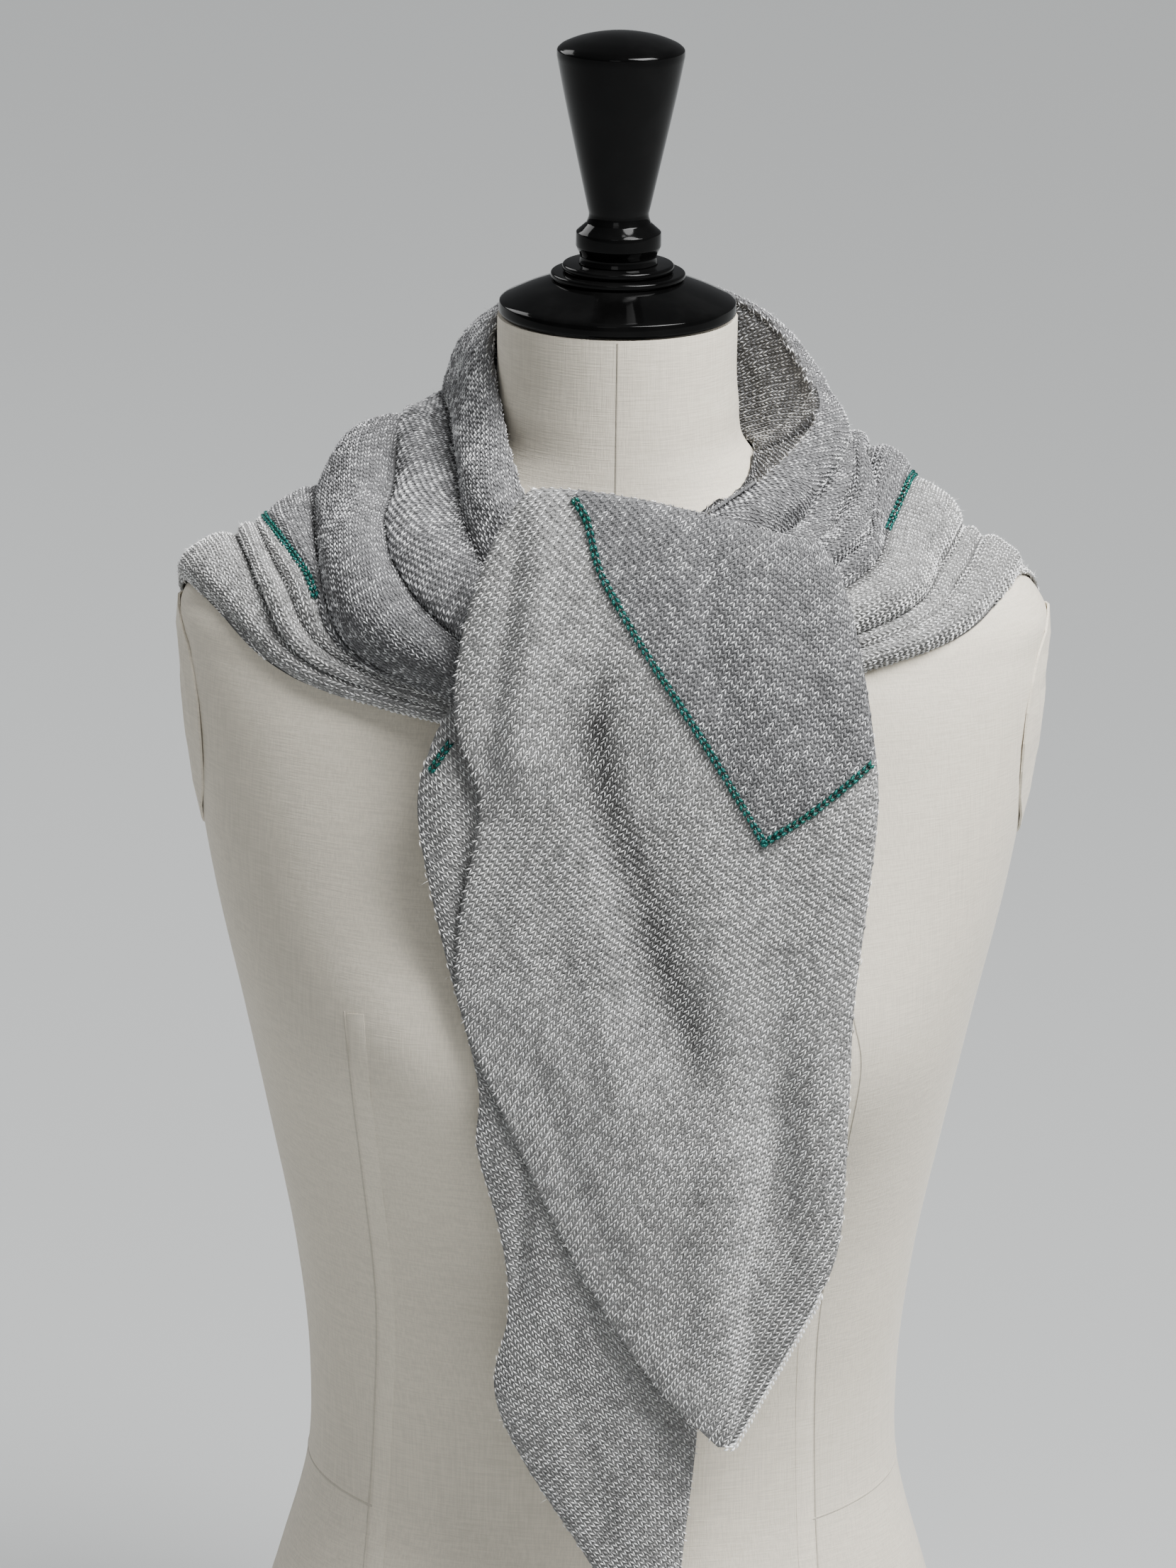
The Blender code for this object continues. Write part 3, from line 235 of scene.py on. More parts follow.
# Where a crease sinks deeper: its index, how far along the stations, over what length, and how deep.
Slit = namedtuple("Slit", "name crease place length depth")
LEFT_SLITS = table(Slit, (
    ("slit under the inner band", 2, 3.62, 0.30, 0.75), ("neck trough", 1, 3.7, 0.5, 0.25),
    ("under the big roll", 3, 4.4, 0.6, 0.2), ("second pleat", 6, 4.0, 0.6, 0.15),
))
RIGHT_SLITS = table(Slit, (
    ("hollow under the cowl", 1, 4.65, 0.55, 1.9), ("narrow trough", 2, 4.3, 0.8, 0.8),
    ("arc trough", 3, 4.1, 0.9, 0.7), ("border trough", 5, 4.5, 0.9, 0.6),
))
# Painted shade in the troughs between the rolls of the worn cloth:
HOLLOW_REACH = 1.0            # over which a trough is judged
HOLLOW_DEPTH = 0.28           # at which it is as dark as it gets
HOLLOW_SHADE = 1.05
BORDER_SEAM = 4               # index of the crease the teal line follows
ROLL_STEEPNESS = 0.70         # most that a roll rises, as a share of its width
ROLL_FULLNESS = 0.66          # below 1 a roll's sides are steeper than a sine's
STATION_STEPS = 30            # points between two stations of a crease
SHOULDER_STATION = 3
LAST_STATION = 6
BACK_STEPS = 58               # sections from centre back to shoulder
WRAP_STEPS = 46               # sections along a wrap, shoulder to tie
BACK_PUSHED = 40              # of those sections, the ones that hang behind the torso
FOLD_TURN = 4                 # strips that turn over the fold edge
FOLD_RADIUS = 0.12
HEM_TURN = 4                  # strips of the outer edge that curl in towards the torso
HEM_DEPTH = 0.9               # most that the hem reaches
HEM_OUT = 0.05                # its foot beyond its edge
HEM_BULGE = 0.1               # most that it bulges outwards
WRINKLE_DEPTH = 0.07          # slack wrinkles along each roll
WRINKLE_SHARE = 0.04          # most that they are deep, as a share of the roll's width
ROLL_WAVE = 0.10              # how far a roll's height wanders, as a share of it
TIE_SECTIONS = 24
TIE_HALF_DEPTH = 0.5
TIE_BUNCHING = 0.45
TIE_INSET = 0.02              # its ends inside the wraps
TIE_CELL = 0.004              # knit coordinates from one point of the tie to the next, m

# Foot of the collar's inner layer, an oval round the foot of the neck.
INNER_FOOT_HEIGHT = 72.8
INNER_FOOT_HALF_WIDTH = 5.7
INNER_FOOT_HALF_DEPTH = 5.6
INNER_BULGE = 0.35
INNER_STRIPS = 14
INNER_LEFT_STEPS = 44         # sections past each shoulder
INNER_RIGHT_STEPS = 44
INNER_LEAST_FALL = 1.6
INNER_TURN = 0.03             # between the fold edge and the inner layer
INNER_WAVE = 0.06
INNER_WALES = 40.0            # how far its wales turn from its length, in degrees
INNER_SHADE = (0.0, 1.15)     # painted shade at the fold edge and at the foot

# Hanging ends: rows from the tie to the corner. Each gives the left and right edge, how much higher
# the middle is, how deep it lies, how far the edges curl back, and the depth of the long valley.
TailRow = namedtuple("TailRow", "name left left_height right right_height crown depth curl valley")
FRONT_TAIL = table(TailRow, (
    ("turned in", -3.1, 72.6, 7.5, 70.8, 0.5, 11.3, 0.3, 0.0),
    ("top fold", -3.6, 73.8, 8.4, 71.7, 0.6, 11.8, 0.5, 0.0),
    ("over the tie", -5.2, 71.5, 9.5, 70.2, 0.3, 12.75, 0.9, 0.0),
    ("tie", -6.4, 67.6, 10.3, 67.3, 0.1, 13.5, 1.0, 0.0),
    ("below the tie", -6.6, 64.2, 10.9, 64.0, 0.0, 13.8, 0.8, 0.0),
    ("pinched", -5.6, 60.7, 11.2, 60.8, 0.0, 14.0, 0.7, 0.1),
    ("fuller", -6.4, 55.6, 10.8, 56.0, 0.0, 14.2, 0.7, 0.2),
    ("fullest", -6.4, 51.9, 10.4, 51.8, 0.0, 14.3, 0.7, 0.4),
    ("left turns in", -4.8, 47.6, 10.3, 47.2, 0.0, 14.3, 0.6, 0.6),
    ("narrowing", -2.3, 42.0, 10.1, 41.4, 0.0, 14.1, 0.5, 0.6),
    ("hem starts", -0.2, 38.0, 9.2, 38.4, 0.0, 13.9, 0.3, 0.4),
    ("toe", 2.3, 34.2, 7.2, 34.4, 0.0, 13.8, 0.2, 0.2),
    ("corner", 5.0, 31.4, 5.7, 31.4, 0.0, 13.7, 0.0, 0.0),
))
UNDER_TAIL = table(TailRow, (
    ("leaves the tie", -6.7, 65.0, -0.6, 65.0, 0.0, 11.5, 0.0, 0.0),
    ("spreads", -7.7, 62.8, 1.2, 62.8, 0.0, 12.1, 0.5, 0.2),
    ("upper bulge", -8.2, 60.0, 2.8, 60.0, 0.0, 12.5, 0.6, 0.3),
    ("narrowing", -7.2, 54.8, 4.3, 54.8, 0.0, 12.9, 0.3, 0.2),
    ("behind", -5.6, 48.4, 4.6, 48.4, 0.0, 13.1, 0.2, 0.0),
    ("ripple out", -5.6, 45.2, 4.6, 45.2, 0.0, 13.0, 0.3, 0.2),
    ("ripple in", -4.6, 41.2, 4.5, 41.2, 0.0, 12.7, 0.3, 0.2),
    ("lower side", -4.2, 37.4, 4.4, 37.4, 0.0, 12.5, 0.4, 0.2),
    ("lower bulge", -4.8, 33.6, 4.2, 33.6, 0.0, 12.3, 0.5, 0.1),
    ("edge turns in", -3.6, 30.3, 4.0, 30.3, 0.0, 12.2, 0.3, 0.0),
    ("toe", -0.4, 25.0, 3.5, 25.0, 0.0, 12.1, 0.2, 0.0),
    ("corner", 2.5, 19.4, 3.1, 19.4, 0.0, 12.1, 0.0, 0.0),
))
VALLEY_PLACE = 0.80           # across the tail, from its left edge
VALLEY_WIDTH = 0.09
CROWN_SKEW = 0.7
CURL_TIGHTNESS = 5
TAIL_ROWS = 130
TAIL_COLUMNS = 58

# The teal line on the front tail: down to the inner corner, then up to the right edge (x, height).
FRONT_LINE = ((-1.7, 73.6), (-1.2, 72.8), (-0.7, 71.0), (0.1, 69.5), (1.2, 67.7), (3.7, 63.9),
              (5.4, 61.1), (6.4, 59.4))
FRONT_LINE_RETURN = ((6.4, 59.4), (8.4, 60.7), (11.1, 62.9))
UNDER_LINE = ((-7.6, 62.0), (-6.9, 63.1))
LINE_LIFT = 0.03              # of the teal line off the cloth, on the ends
WRAP_LINE_LIFT = 0.02         # and on the wraps and the back
LINE_SLOPE = 0.86             # distance from each line, as a share of the distance across or down to it
RETURN_SLOPE = 0.82

# Soft folds of the hanging ends, each a trough along a line from top to bottom (x, height).
Fold = namedtuple("Fold", "name top bottom width depth")
FOLD_WANDER = 0.12            # how far a fold strays to its sides, as a share of its width
FOLD_ENDS = 0.15              # how far it runs out beyond its ends, as a share of its length
FOLD_FADE = 0.35              # over which it runs out
FRONT_FOLDS = table(Fold, (
    ("side fold", (-4.0, 72.6), (-5.4, 60.6), 0.26, 0.55),
    ("beside the side fold", (-3.1, 72.9), (-4.4, 61.5), 0.55, -0.30),
    ("below the knot", (-4.3, 62.0), (-4.9, 53.0), 0.60, 0.16),
    ("streak", (0.3, 65.0), (4.6, 47.0), 1.20, 0.30),
    ("beside the streak", (-1.9, 61.0), (1.2, 45.0), 1.00, -0.22),
    ("top pull", (3.4, 72.6), (4.6, 65.0), 0.60, 0.22),
    ("right pull", (7.2, 71.6), (9.2, 62.0), 0.80, 0.24),
    ("long valley", (7.6, 49.5), (5.9, 35.0), 0.60, 0.38),
    ("left of the valley", (5.0, 47.0), (4.6, 36.0), 0.90, -0.20),
    ("left drag", (-4.2, 51.0), (0.8, 39.0), 0.70, 0.18),
))
UNDER_FOLDS = table(Fold, (
    ("upper trough", (-6.3, 63.5), (-6.0, 54.0), 0.36, 0.34),
    ("inner trough", (-4.4, 64.0), (-3.6, 52.0), 0.50, 0.16),
    ("hanging fold", (-3.3, 46.0), (-3.7, 38.0), 0.26, 0.50),
    ("lower drag", (-2.0, 36.0), (0.6, 25.0), 0.60, 0.12),
    ("right drag", (2.4, 38.0), (2.9, 26.0), 0.50, 0.12),
))
# Painted shade where the shaded tie shows through the open knit of the front tail: x, height, half width,
# strength.
Shade = namedtuple("Shade", "x height half_width strength")
STREAK = table(Shade, (
    (-0.2, 68.6, 0.5, 0.0), (-0.35, 66.6, 0.7, 0.55), (-0.6, 64.4, 0.95, 1.10),
    (-0.1, 61.2, 1.1, 1.05), (1.4, 57.4, 1.1, 0.90), (2.2, 54.3, 1.05, 1.05),
    (3.6, 50.4, 0.95, 0.85), (4.5, 46.5, 0.8, 0.0),
))

# ------------------------------------------------------------------ finish
UV_NAME = "knit"              # metres along and across the wales
ISLAND_GAP = 0.012            # between the islands of the knit coordinates, m
TAIL_WALES = {"scarf_front_tail": 36.0, "scarf_under_tail": -38.0}    # how far they turn, in degrees
HEM_TOP = {"scarf_under_end": 25.0, "scarf_front_end": 38.6}    # cm, where the cast-off edge starts
COLLAR_COLUMNS = FOLD_TURN + sum(roll.strips for roll in LEFT_ROLLS[:3])
TEAL_ROWS = (20, 18)          # rows of the left and right wrap that the teal line shows on
SHOULDERS = (WRAP_STEPS, WRAP_STEPS + 2 * BACK_STEPS)    # rows of the cloth at the left and right shoulder
BACK_MIDDLE = WRAP_STEPS + BACK_STEPS
ALL = (0, None)               # every row or column
IN_CENTRE, ON_BORDER = -0.1, 0.1      # distance outside the teal line, for cloth far from it, m
# Cloth, name, slot, and rows and columns of each stretch of stitches.
STITCHED = (
    ("wrapped", "stitches_left_wrap", "centre_knit", (0, SHOULDERS[0]), ALL),
    ("wrapped", "stitches_right_wrap", "centre_knit", (SHOULDERS[1], None), ALL),
    ("wrapped", "stitches_collar", "centre_knit", SHOULDERS, (0, COLLAR_COLUMNS)),
    ("wrapped", "stitches_back_left", "border_knit", (SHOULDERS[0], BACK_MIDDLE), (COLLAR_COLUMNS, None)),
    ("wrapped", "stitches_back_right", "border_knit", (BACK_MIDDLE, SHOULDERS[1]), (COLLAR_COLUMNS, None)),
    ("inner", "stitches_inner", "centre_knit", ALL, ALL),
    ("scarf_under_end", "stitches_under_end", "border_knit", ALL, ALL),
    ("scarf_front_end", "stitches_front_end", "border_knit", ALL, ALL),
)
THREAD_SHARE = 0.135          # half a thread's thickness, as a share of a wale
STITCH_UNEVENNESS = 0.09      # how far a stitch strays from its place, as a share of its cell
TEAL_LINK = (0.0040, 0.00088)     # width and half thickness of a chain stitch, m
HEM_LOOP = (0.0034, 0.00055)      # of a loop of the cast-off edge, m
HALO_LEAN = 1.15              # most that a fibre leans, in radians
STITCH_SIZES = ((0.86, 0.90, 0.8), (1.12, 1.12, 1.25))    # from the smallest to the largest
LINK_SIZES = (0.90, 1.12)
FIBRE_SIZES = (0.5, 1.3)
HEM_TINT = 0.86               # how bright the thread is, from 0 to 1
HALO_TINT = 0.75

# ------------------------------------------------------------------ stage
# Name, place in metres, size in metres and power in watts.
LIGHTS = (
    ("front_light", (-0.5, -2.6, 1.9), 0.9, 5.0),
    ("side_light", (0.90, -0.55, 1.95), 0.8, 52.0),
    ("back_light", (-2.1, 1.9, 2.3), 1.5, 34.0),
)
LIT_POINT = (0.0, 0.0, 0.6)   # what every light faces, in metres
KEY_FROM = (0.76, -0.50, 1.70)    # where the broad key light comes from
KEY_SOFTNESS = 0.50           # angle that the key light covers, in radians
KEY_STRENGTH = 3.9
WORLD_STRENGTH = 0.14
WORLD_COLOUR = (0.93, 0.96, 1.0, 1.0)


class KnitSettings(bpy.types.PropertyGroup):
    """Gauge, thread and colours of the scarf."""
    wale_width: FloatProperty(
        name="Wale width", description="Width of one column of stitches", default=0.0029,
        min=0.001, max=0.01, precision=4, unit="LENGTH")
    course_height: FloatProperty(
        name="Course height", description="Height of one row of stitches", default=0.0025,
        min=0.001, max=0.01, precision=4, unit="LENGTH")
    link_spacing: FloatProperty(
        name="Chain link spacing", description="Length of one chain stitch of the teal line",
        default=0.0030, min=0.001, max=0.01, precision=4, unit="LENGTH")
    fibre_density: FloatProperty(
        name="Halo density", description="Loose fibres on each square metre of cloth",
        default=90000.0, min=0.0, max=400000.0)
    seed: IntProperty(
        name="Seed", description="Seed of every random choice in the knit", default=11, min=0)
    border_colour: FloatVectorProperty(
        name="Border", description="Pale grey marl of the border", subtype="COLOR", size=3,
        min=0.0, max=1.0, default=(0.96, 0.955, 0.94))
    centre_colour: FloatVectorProperty(
        name="Centre", description="Darker grey marl of the centre", subtype="COLOR", size=3,
        min=0.0, max=1.0, default=(0.42, 0.42, 0.43))
    teal_colour: FloatVectorProperty(
        name="Teal line", description="Metallic thread of the chain stitch", subtype="COLOR", size=3,
        min=0.0, max=1.0, default=(0.004, 0.108, 0.083))


class FormSettings(bpy.types.PropertyGroup):
    """Colours of the dress form."""
    linen_colour: FloatVectorProperty(
        name="Linen", description="Unbleached linen cover", subtype="COLOR", size=3,
        min=0.0, max=1.0, default=(0.69, 0.632, 0.522))
    lacquer_colour: FloatVectorProperty(
        name="Lacquer", description="Black gloss of the turned cap and knob", subtype="COLOR", size=3,
        min=0.0, max=1.0, default=(0.0015, 0.0015, 0.0015))
    wood_colour: FloatVectorProperty(
        name="Base board", description="Varnished board that closes the form", subtype="COLOR", size=3,
        min=0.0, max=1.0, default=(0.36, 0.21, 0.10))
    turned_steps: IntProperty(
        name="Turned steps", description="Sides of each turned piece", default=96, min=16, max=256)


class StageSettings(bpy.types.PropertyGroup):
    """Floor, light and camera."""
    focal_length: FloatProperty(
        name="Focal length", description="Lens, in millimetres on a 36 mm long side", default=124.8,
        min=20.0, max=300.0)
    camera_distance: FloatProperty(
        name="Camera distance", description="From the lens to the point it looks at", default=2.42,
        min=0.5, max=10.0, unit="LENGTH")
    camera_pitch: FloatProperty(
        name="Camera pitch", description="How far the camera looks down", default=math.radians(17.9),
        unit="ROTATION")
    camera_roll: FloatProperty(
        name="Camera roll", description="How far the camera leans", default=math.radians(0.7),
        unit="ROTATION")
    look_at: FloatVectorProperty(
        name="Look at", description="Point at the middle of the picture", subtype="TRANSLATION",
        size=3, default=(-0.0103, 0.0, 0.576))
    floor_colour: FloatVectorProperty(
        name="Floor", description="Plain pale floor", subtype="COLOR", size=3, min=0.0, max=1.0,
        default=(0.42, 0.43, 0.43))
    floor_size: FloatProperty(
        name="Floor size", description="Side of the square floor", default=40.0, unit="LENGTH")


# ------------------------------------------------------------------ node and mesh helpers
def with_settings(made, **settings):
    """A new node, modifier, light or camera with its properties set."""
    for name, value in settings.items():
        setattr(made, name, value)
    return made


def add_node(tree, kind, inputs=None, **settings):
    """Add a node, set its properties, and set or link its inputs by name or number."""
    made = with_settings(tree.nodes.new(kind), **settings)
    for name, value in (inputs or {}).items():
        if isinstance(value, bpy.types.NodeSocket):
            tree.links.new(value, made.inputs[name])
        else:
            made.inputs[name].default_value = value
    return made


def calculate(tree, operation, first, second=0.0, clamp=False):
    """A Math node's result."""
    made = add_node(tree, "ShaderNodeMath", {0: first, 1: second}, operation=operation, use_clamp=clamp)
    return made.outputs[0]


def vector_math(tree, operation, first, second):
    """A Vector Math node's vector."""
    inputs = {0: first, "Scale" if operation == "SCALE" else 1: second}
    return add_node(tree, "ShaderNodeVectorMath", inputs, operation=operation).outputs[0]


def blend_colours(tree, share, first, second, blend_type="MIX"):
    """A Mix node's colour; share, first and second are values or sockets."""
    made = add_node(tree, "ShaderNodeMix", {0: share, 6: first, 7: second}, data_type="RGBA",
                    blend_type=blend_type)
    return made.outputs[2]


def map_range(tree, value, low, high, to_low=0.0, to_high=1.0):
    """A value carried from one range to another, smoothly and held at its ends."""
    made = add_node(tree, "ShaderNodeMapRange", {0: value, 1: low, 2: high, 3: to_low, 4: to_high},
                    interpolation_type="SMOOTHSTEP")
    return made.outputs[0]


def noise(tree, vector, scale, detail=2.0, roughness=0.5):
    """A Noise texture's value."""
    made = add_node(tree, "ShaderNodeTexNoise",
                    {"Vector": vector, "Scale": scale, "Detail": detail, "Roughness": roughness})
    return made.outputs[0]


def attribute(tree, name):
    """A mesh attribute's value."""
    return add_node(tree, "ShaderNodeAttribute", attribute_name=name).outputs["Fac"]


def object_place(tree):
    """The place on the object, in metres."""
    return add_node(tree, "ShaderNodeTexCoord").outputs["Object"]


def stretched(tree, place, scale):
    """A place scaled along each axis, for a pattern that runs one way."""
    return add_node(tree, "ShaderNodeMapping", {"Vector": place, "Scale": scale}).outputs[0]


def lightened(tree, colour, lightness):
    """A colour made lighter or darker by a value."""
    grey = add_node(tree, "ShaderNodeCombineXYZ", {0: lightness, 1: lightness, 2: lightness}).outputs[0]
    return blend_colours(tree, 1.0, colour, grey, "MULTIPLY")


def new_material(name, roughness, metallic=0.0, **constants):
    """A material with its tree, its Principled shader and the constants set on it."""
    made = bpy.data.materials.new(name)
    made.use_nodes = True
    shader = made.node_tree.nodes["Principled BSDF"]
    shader.inputs["Roughness"].default_value = roughness
    shader.inputs["Metallic"].default_value = metallic
    for key, value in constants.items():
        shader.inputs[key.replace("_", " ").title().replace("Ior", "IOR")].default_value = value
    return made, made.node_tree, shader


def paint(tree, shader, colour):
    """Feed a colour to the shader."""
    tree.links.new(colour, shader.inputs["Base Color"])


def add_bump(tree, shader, height, distance, strength=1.0):
    """Feed a height to the shader as bump."""
    bump = add_node(tree, "ShaderNodeBump", {"Height": height, "Distance": distance, "Strength": strength})
    tree.links.new(bump.outputs[0], shader.inputs["Normal"])


def colour4(colour, share=1.0):
    """A colour property as four values, or a share of it."""
    return (*(share * value for value in colour), 1.0)


def in_scene(name, data):
    """An object in the scene's collection for a mesh, a light or a camera."""
    thing = bpy.data.objects.new(name, data)
    bpy.context.scene.collection.objects.link(thing)
    return thing


def link_mesh(name, mesh, material):
    """An object in the scene for a mesh with its material."""
    mesh.name = name
    if material is not None:
        mesh.materials.clear()
        mesh.materials.append(material)
    return in_scene(name, mesh)


def mesh_from(name, points, faces, smooth_angle=None):
    """A mesh from points in centimetres and faces, shaded smooth."""
    mesh = bpy.data.meshes.new(name)
    mesh.from_pydata((np.asarray(points, dtype=float) * CM).tolist(), [], faces)
    mesh.shade_smooth()
    if smooth_angle is not None:
        mesh.set_sharp_from_angle(angle=math.radians(smooth_angle))
    return mesh


def face_outwards(mesh):
    """Turn every face of a closed mesh outwards."""
    body = bmesh.new()
    body.from_mesh(mesh)
    bmesh.ops.recalc_face_normals(body, faces=body.faces)
    body.to_mesh(mesh)
    body.free()


def tube_faces(rings, count):
    """Faces of a closed tube of rings of points, with both its ends."""
    faces = [(row + column, row + (column + 1) % count, row + count + (column + 1) % count,
              row + count + column)
             for row in range(0, (rings - 1) * count, count) for column in range(count)]
    return [*faces, tuple(reversed(range(count))), tuple(range((rings - 1) * count, rings * count))]


def rim_of(rows, columns):
    """Indices of a grid's points once round its edge."""
    rim = list(range(columns)) + [row * columns + columns - 1 for row in range(1, rows)]
    rim += [(rows - 1) * columns + column for column in range(columns - 2, -1, -1)]
    return rim + [row * columns for row in range(rows - 2, 0, -1)]


def write_values(mesh, **values):
    """Give a mesh's points the values it has not got yet, one for all of them or one for each."""
    for name, value in values.items():
        if name not in mesh.attributes:
            layer = mesh.attributes.new(name, "FLOAT", "POINT")
            layer.data.foreach_set("value", np.full(len(mesh.vertices), value, dtype=np.float32))


def write_places(mesh, places):
    """Give a mesh's corners their knit coordinates."""
    layer = mesh.uv_layers.new(name=UV_NAME)
    layer.data.foreach_set("uv", places.astype(np.float32).ravel())


def settle(thing, slot, *nodes):
    """Ride a finished piece on the body and hide the nodes that it stands for; its slot is not used."""
    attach(thing, BODY)
    if nodes:
        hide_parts(*nodes)
    return thing


def cast(tree, out, height, way):
    """What a level ray meets that comes from behind (way 1) or from before (way -1)."""
    return tree.ray_cast(Vector((out, way * FAR, height)), Vector((0.0, -way, 0.0)))


def met(hits):
    """The points and the normals that rays or searches met."""
    return np.array([hit[0] for hit in hits]), np.array([hit[1] for hit in hits])


def surface_tree(things):
    """Search tree of the objects' evaluated meshes, in centimetres."""
    graph = bpy.context.evaluated_depsgraph_get()
    points, faces = [], []
    for thing in things:
        mesh = thing.evaluated_get(graph).to_mesh()
        offset = len(points)
        points += [Vector(vertex.co) / CM for vertex in mesh.vertices]
        faces += [tuple(offset + index for index in face.vertices) for face in mesh.polygons]
    return BVHTree.FromPolygons(points, faces)


# ------------------------------------------------------------------ dress form shapes
def section_at(height):
    """Torso section at a height, blended smoothly between the table's rows."""
    rows = np.array(TORSO)
    heights = rows[:, 0]
    slopes = np.gradient(rows, heights, axis=0)
    index = int(np.clip(np.searchsorted(heights, height) - 1, 0, len(rows) - 2))
    span = heights[index + 1] - heights[index]
    part = (height - heights[index]) / span
    blend = ((2 * part ** 3 - 3 * part ** 2 + 1) * rows[index]
             + (part ** 3 - 2 * part ** 2 + part) * span * slopes[index]
             + (3 * part ** 2 - 2 * part ** 3) * rows[index + 1]
             + (part ** 3 - part ** 2) * span * slopes[index + 1])
    return Section(height, *blend[1:])


def bust_rise(out, height):
    """How far the bust stands in front of the plain oval."""
    return sum(BUST_RISE * math.exp(-((out - middle) ** 2 + (height - BUST_HEIGHT) ** 2) / BUST_SPREAD ** 2)
               for middle in (-BUST_OUT, BUST_OUT))


def torso_point(section, angle):
    """Point on a torso section, the angle measured from +X towards +Y."""
    power = 2.0 / section.squareness
    across = math.cos(angle)
    along = math.sin(angle)
    out = section.half_width * math.copysign(abs(across) ** power, across)
    depth = section.back if along > 0.0 else section.front
    back = depth * math.copysign(abs(along) ** power, along)
    if along < 0.0:
        back -= bust_rise(out, section.height) * min(1.0, -2.0 * along)
    return (out, back, section.height)


def even_angles(count):
    """Angles round a torso section whose points lie about evenly apart."""
    turns = np.linspace(0.0, 2.0 * math.pi, OUTLINE_STEPS)
    outline = np.array([torso_point(section_at(BUST_SECTION), turn) for turn in turns])
    lengths = lengths_along(outline)
    places = np.linspace(0.0, lengths[-1], count + 1)[:-1]
    return np.interp(places, lengths, turns)


def build_torso(material):
    """The smooth linen-covered torso with its neck."""
    low = np.linspace(TORSO[0].height, CLOSER_ROWS, TORSO_ROWS // 2)
    high = np.linspace(CLOSER_ROWS, NECK_TOP, TORSO_ROWS - TORSO_ROWS // 2 + 1)[1:]
    heights = np.concatenate((low, high))
    angles = even_angles(TORSO_COLUMNS)
    rings = np.array([[torso_point(section_at(height), angle) for angle in angles] for height in heights])
    faces = tube_faces(len(heights), TORSO_COLUMNS)
    mesh = mesh_from("linen_torso", rings.reshape(-1, 3), faces, 50.0)
    return link_mesh("linen_torso", mesh, material)


def flowing_profile(turns):
    """A turned profile with its soft stretches made of many short steps."""
    points = []
    last = len(turns) - 1
    for index in range(last):
        start, end = turns[index], turns[index + 1]
        if not (start.soft or end.soft):
            points.append((start.radius, start.height))
            continue
        before = turns[index - 1] if index > 0 and start.soft else start
        after = turns[index + 2] if index + 2 <= last and end.soft else end
        if start.radius == 0.0:
            before = Turn(-end.radius, end.height, True)
        knots = np.array([row[:2] for row in (before, start, end, after)])
        for part in np.linspace(0.0, 1.0, SOFT_STEPS + 1)[:-1]:
            weights = (-part + 2 * part ** 2 - part ** 3, 2 - 5 * part ** 2 + 3 * part ** 3,
                       part + 4 * part ** 2 - 3 * part ** 3, part ** 3 - part ** 2)
            points.append(tuple(0.5 * np.array(weights) @ knots))
    points.append((turns[last].radius, turns[last].height))
    return [(max(radius, 0.0), height) for radius, height in points]


def build_turned(name, turns, steps, material):
    """A turned piece: its half profile swept round the Z axis with Screw, its arrises eased."""
    mesh = bpy.data.meshes.new(name)
    points = [(radius * CM, 0.0, height * CM) for radius, height in flowing_profile(turns)]
    mesh.from_pydata(points, [(index, index + 1) for index in range(len(points) - 1)], [])
    thing = link_mesh(name, mesh, material)
    with_settings(thing.modifiers.new("Turn", "SCREW"), axis="Z", steps=steps, render_steps=steps,
                  use_merge_vertices=True, merge_threshold=0.00002, use_normal_calculate=True)
    with_settings(thing.modifiers.new("Ease", "BEVEL"), width=EASE, segments=2, limit_method="ANGLE",
                  angle_limit=math.radians(24.0), harden_normals=False)
    made = plain_mesh(thing)
    made.shade_smooth()
    made.set_sharp_from_angle(angle=math.radians(35.0))
    bpy.data.objects.remove(thing, do_unlink=True)
    return link_mesh(name, made, material)


def plain_mesh(thing):
    """The object's evaluated mesh, as a mesh of its own."""
    graph = bpy.context.evaluated_depsgraph_get()
    return bpy.data.meshes.new_from_object(thing.evaluated_get(graph), preserve_all_data_layers=True,
                                           depsgraph=graph)


# ------------------------------------------------------------------ worn cloth shapes
def smooth_rows(rows, count, mirrored_start=False):
    """Spread count rows along the smooth curve through the given rows (Catmull-Rom)."""
    rows = np.asarray(rows, dtype=float)
    last = len(rows) - 1
    first = 2.0 * rows[0] - rows[1]
    if mirrored_start:
        first = rows[1] * np.array([-1.0, 1.0, 1.0])
    padded = np.concatenate(([first], rows, [2.0 * rows[-1] - rows[-2]]))
    spread = []
    for place in np.linspace(0.0, last, count):
        index = min(int(place), last - 1)
        part = place - index
        before, start, end, after = padded[index:index + 4]
        spread.append(0.5 * (2.0 * start + (end - before) * part
                             + (2.0 * before - 5.0 * start + 4.0 * end - after) * part ** 2
                             + (3.0 * start - before - 3.0 * end + after) * part ** 3))
    return np.array(spread)


def resample(values, places):
    """Rows of an array at places between them."""
    values = np.asarray(values, dtype=float)
    return np.array([np.interp(places, range(len(values)), column) for column in values.T]).T


def station_places():
    """Where the sections lie along the stations of a crease."""
    behind = np.linspace(0.0, SHOULDER_STATION, BACK_STEPS + 1)
    front = np.linspace(SHOULDER_STATION, LAST_STATION, WRAP_STEPS + 1)
    return np.concatenate((behind, front[1:]))


def crease_path(crease, behind, side):
    """The way of one crease on one side, from the centre back to the tie."""
    mirror = np.array([side, 1.0, 1.0])
    stations = (np.array(behind.centre), mirror * behind.beside, mirror * behind.blade,
                crease.shoulder, crease.high, crease.low, crease.tie)
    path = smooth_rows(stations, (len(stations) - 1) * STATION_STEPS + 1, not behind.pointed)
    return resample(path, station_places() * STATION_STEPS)


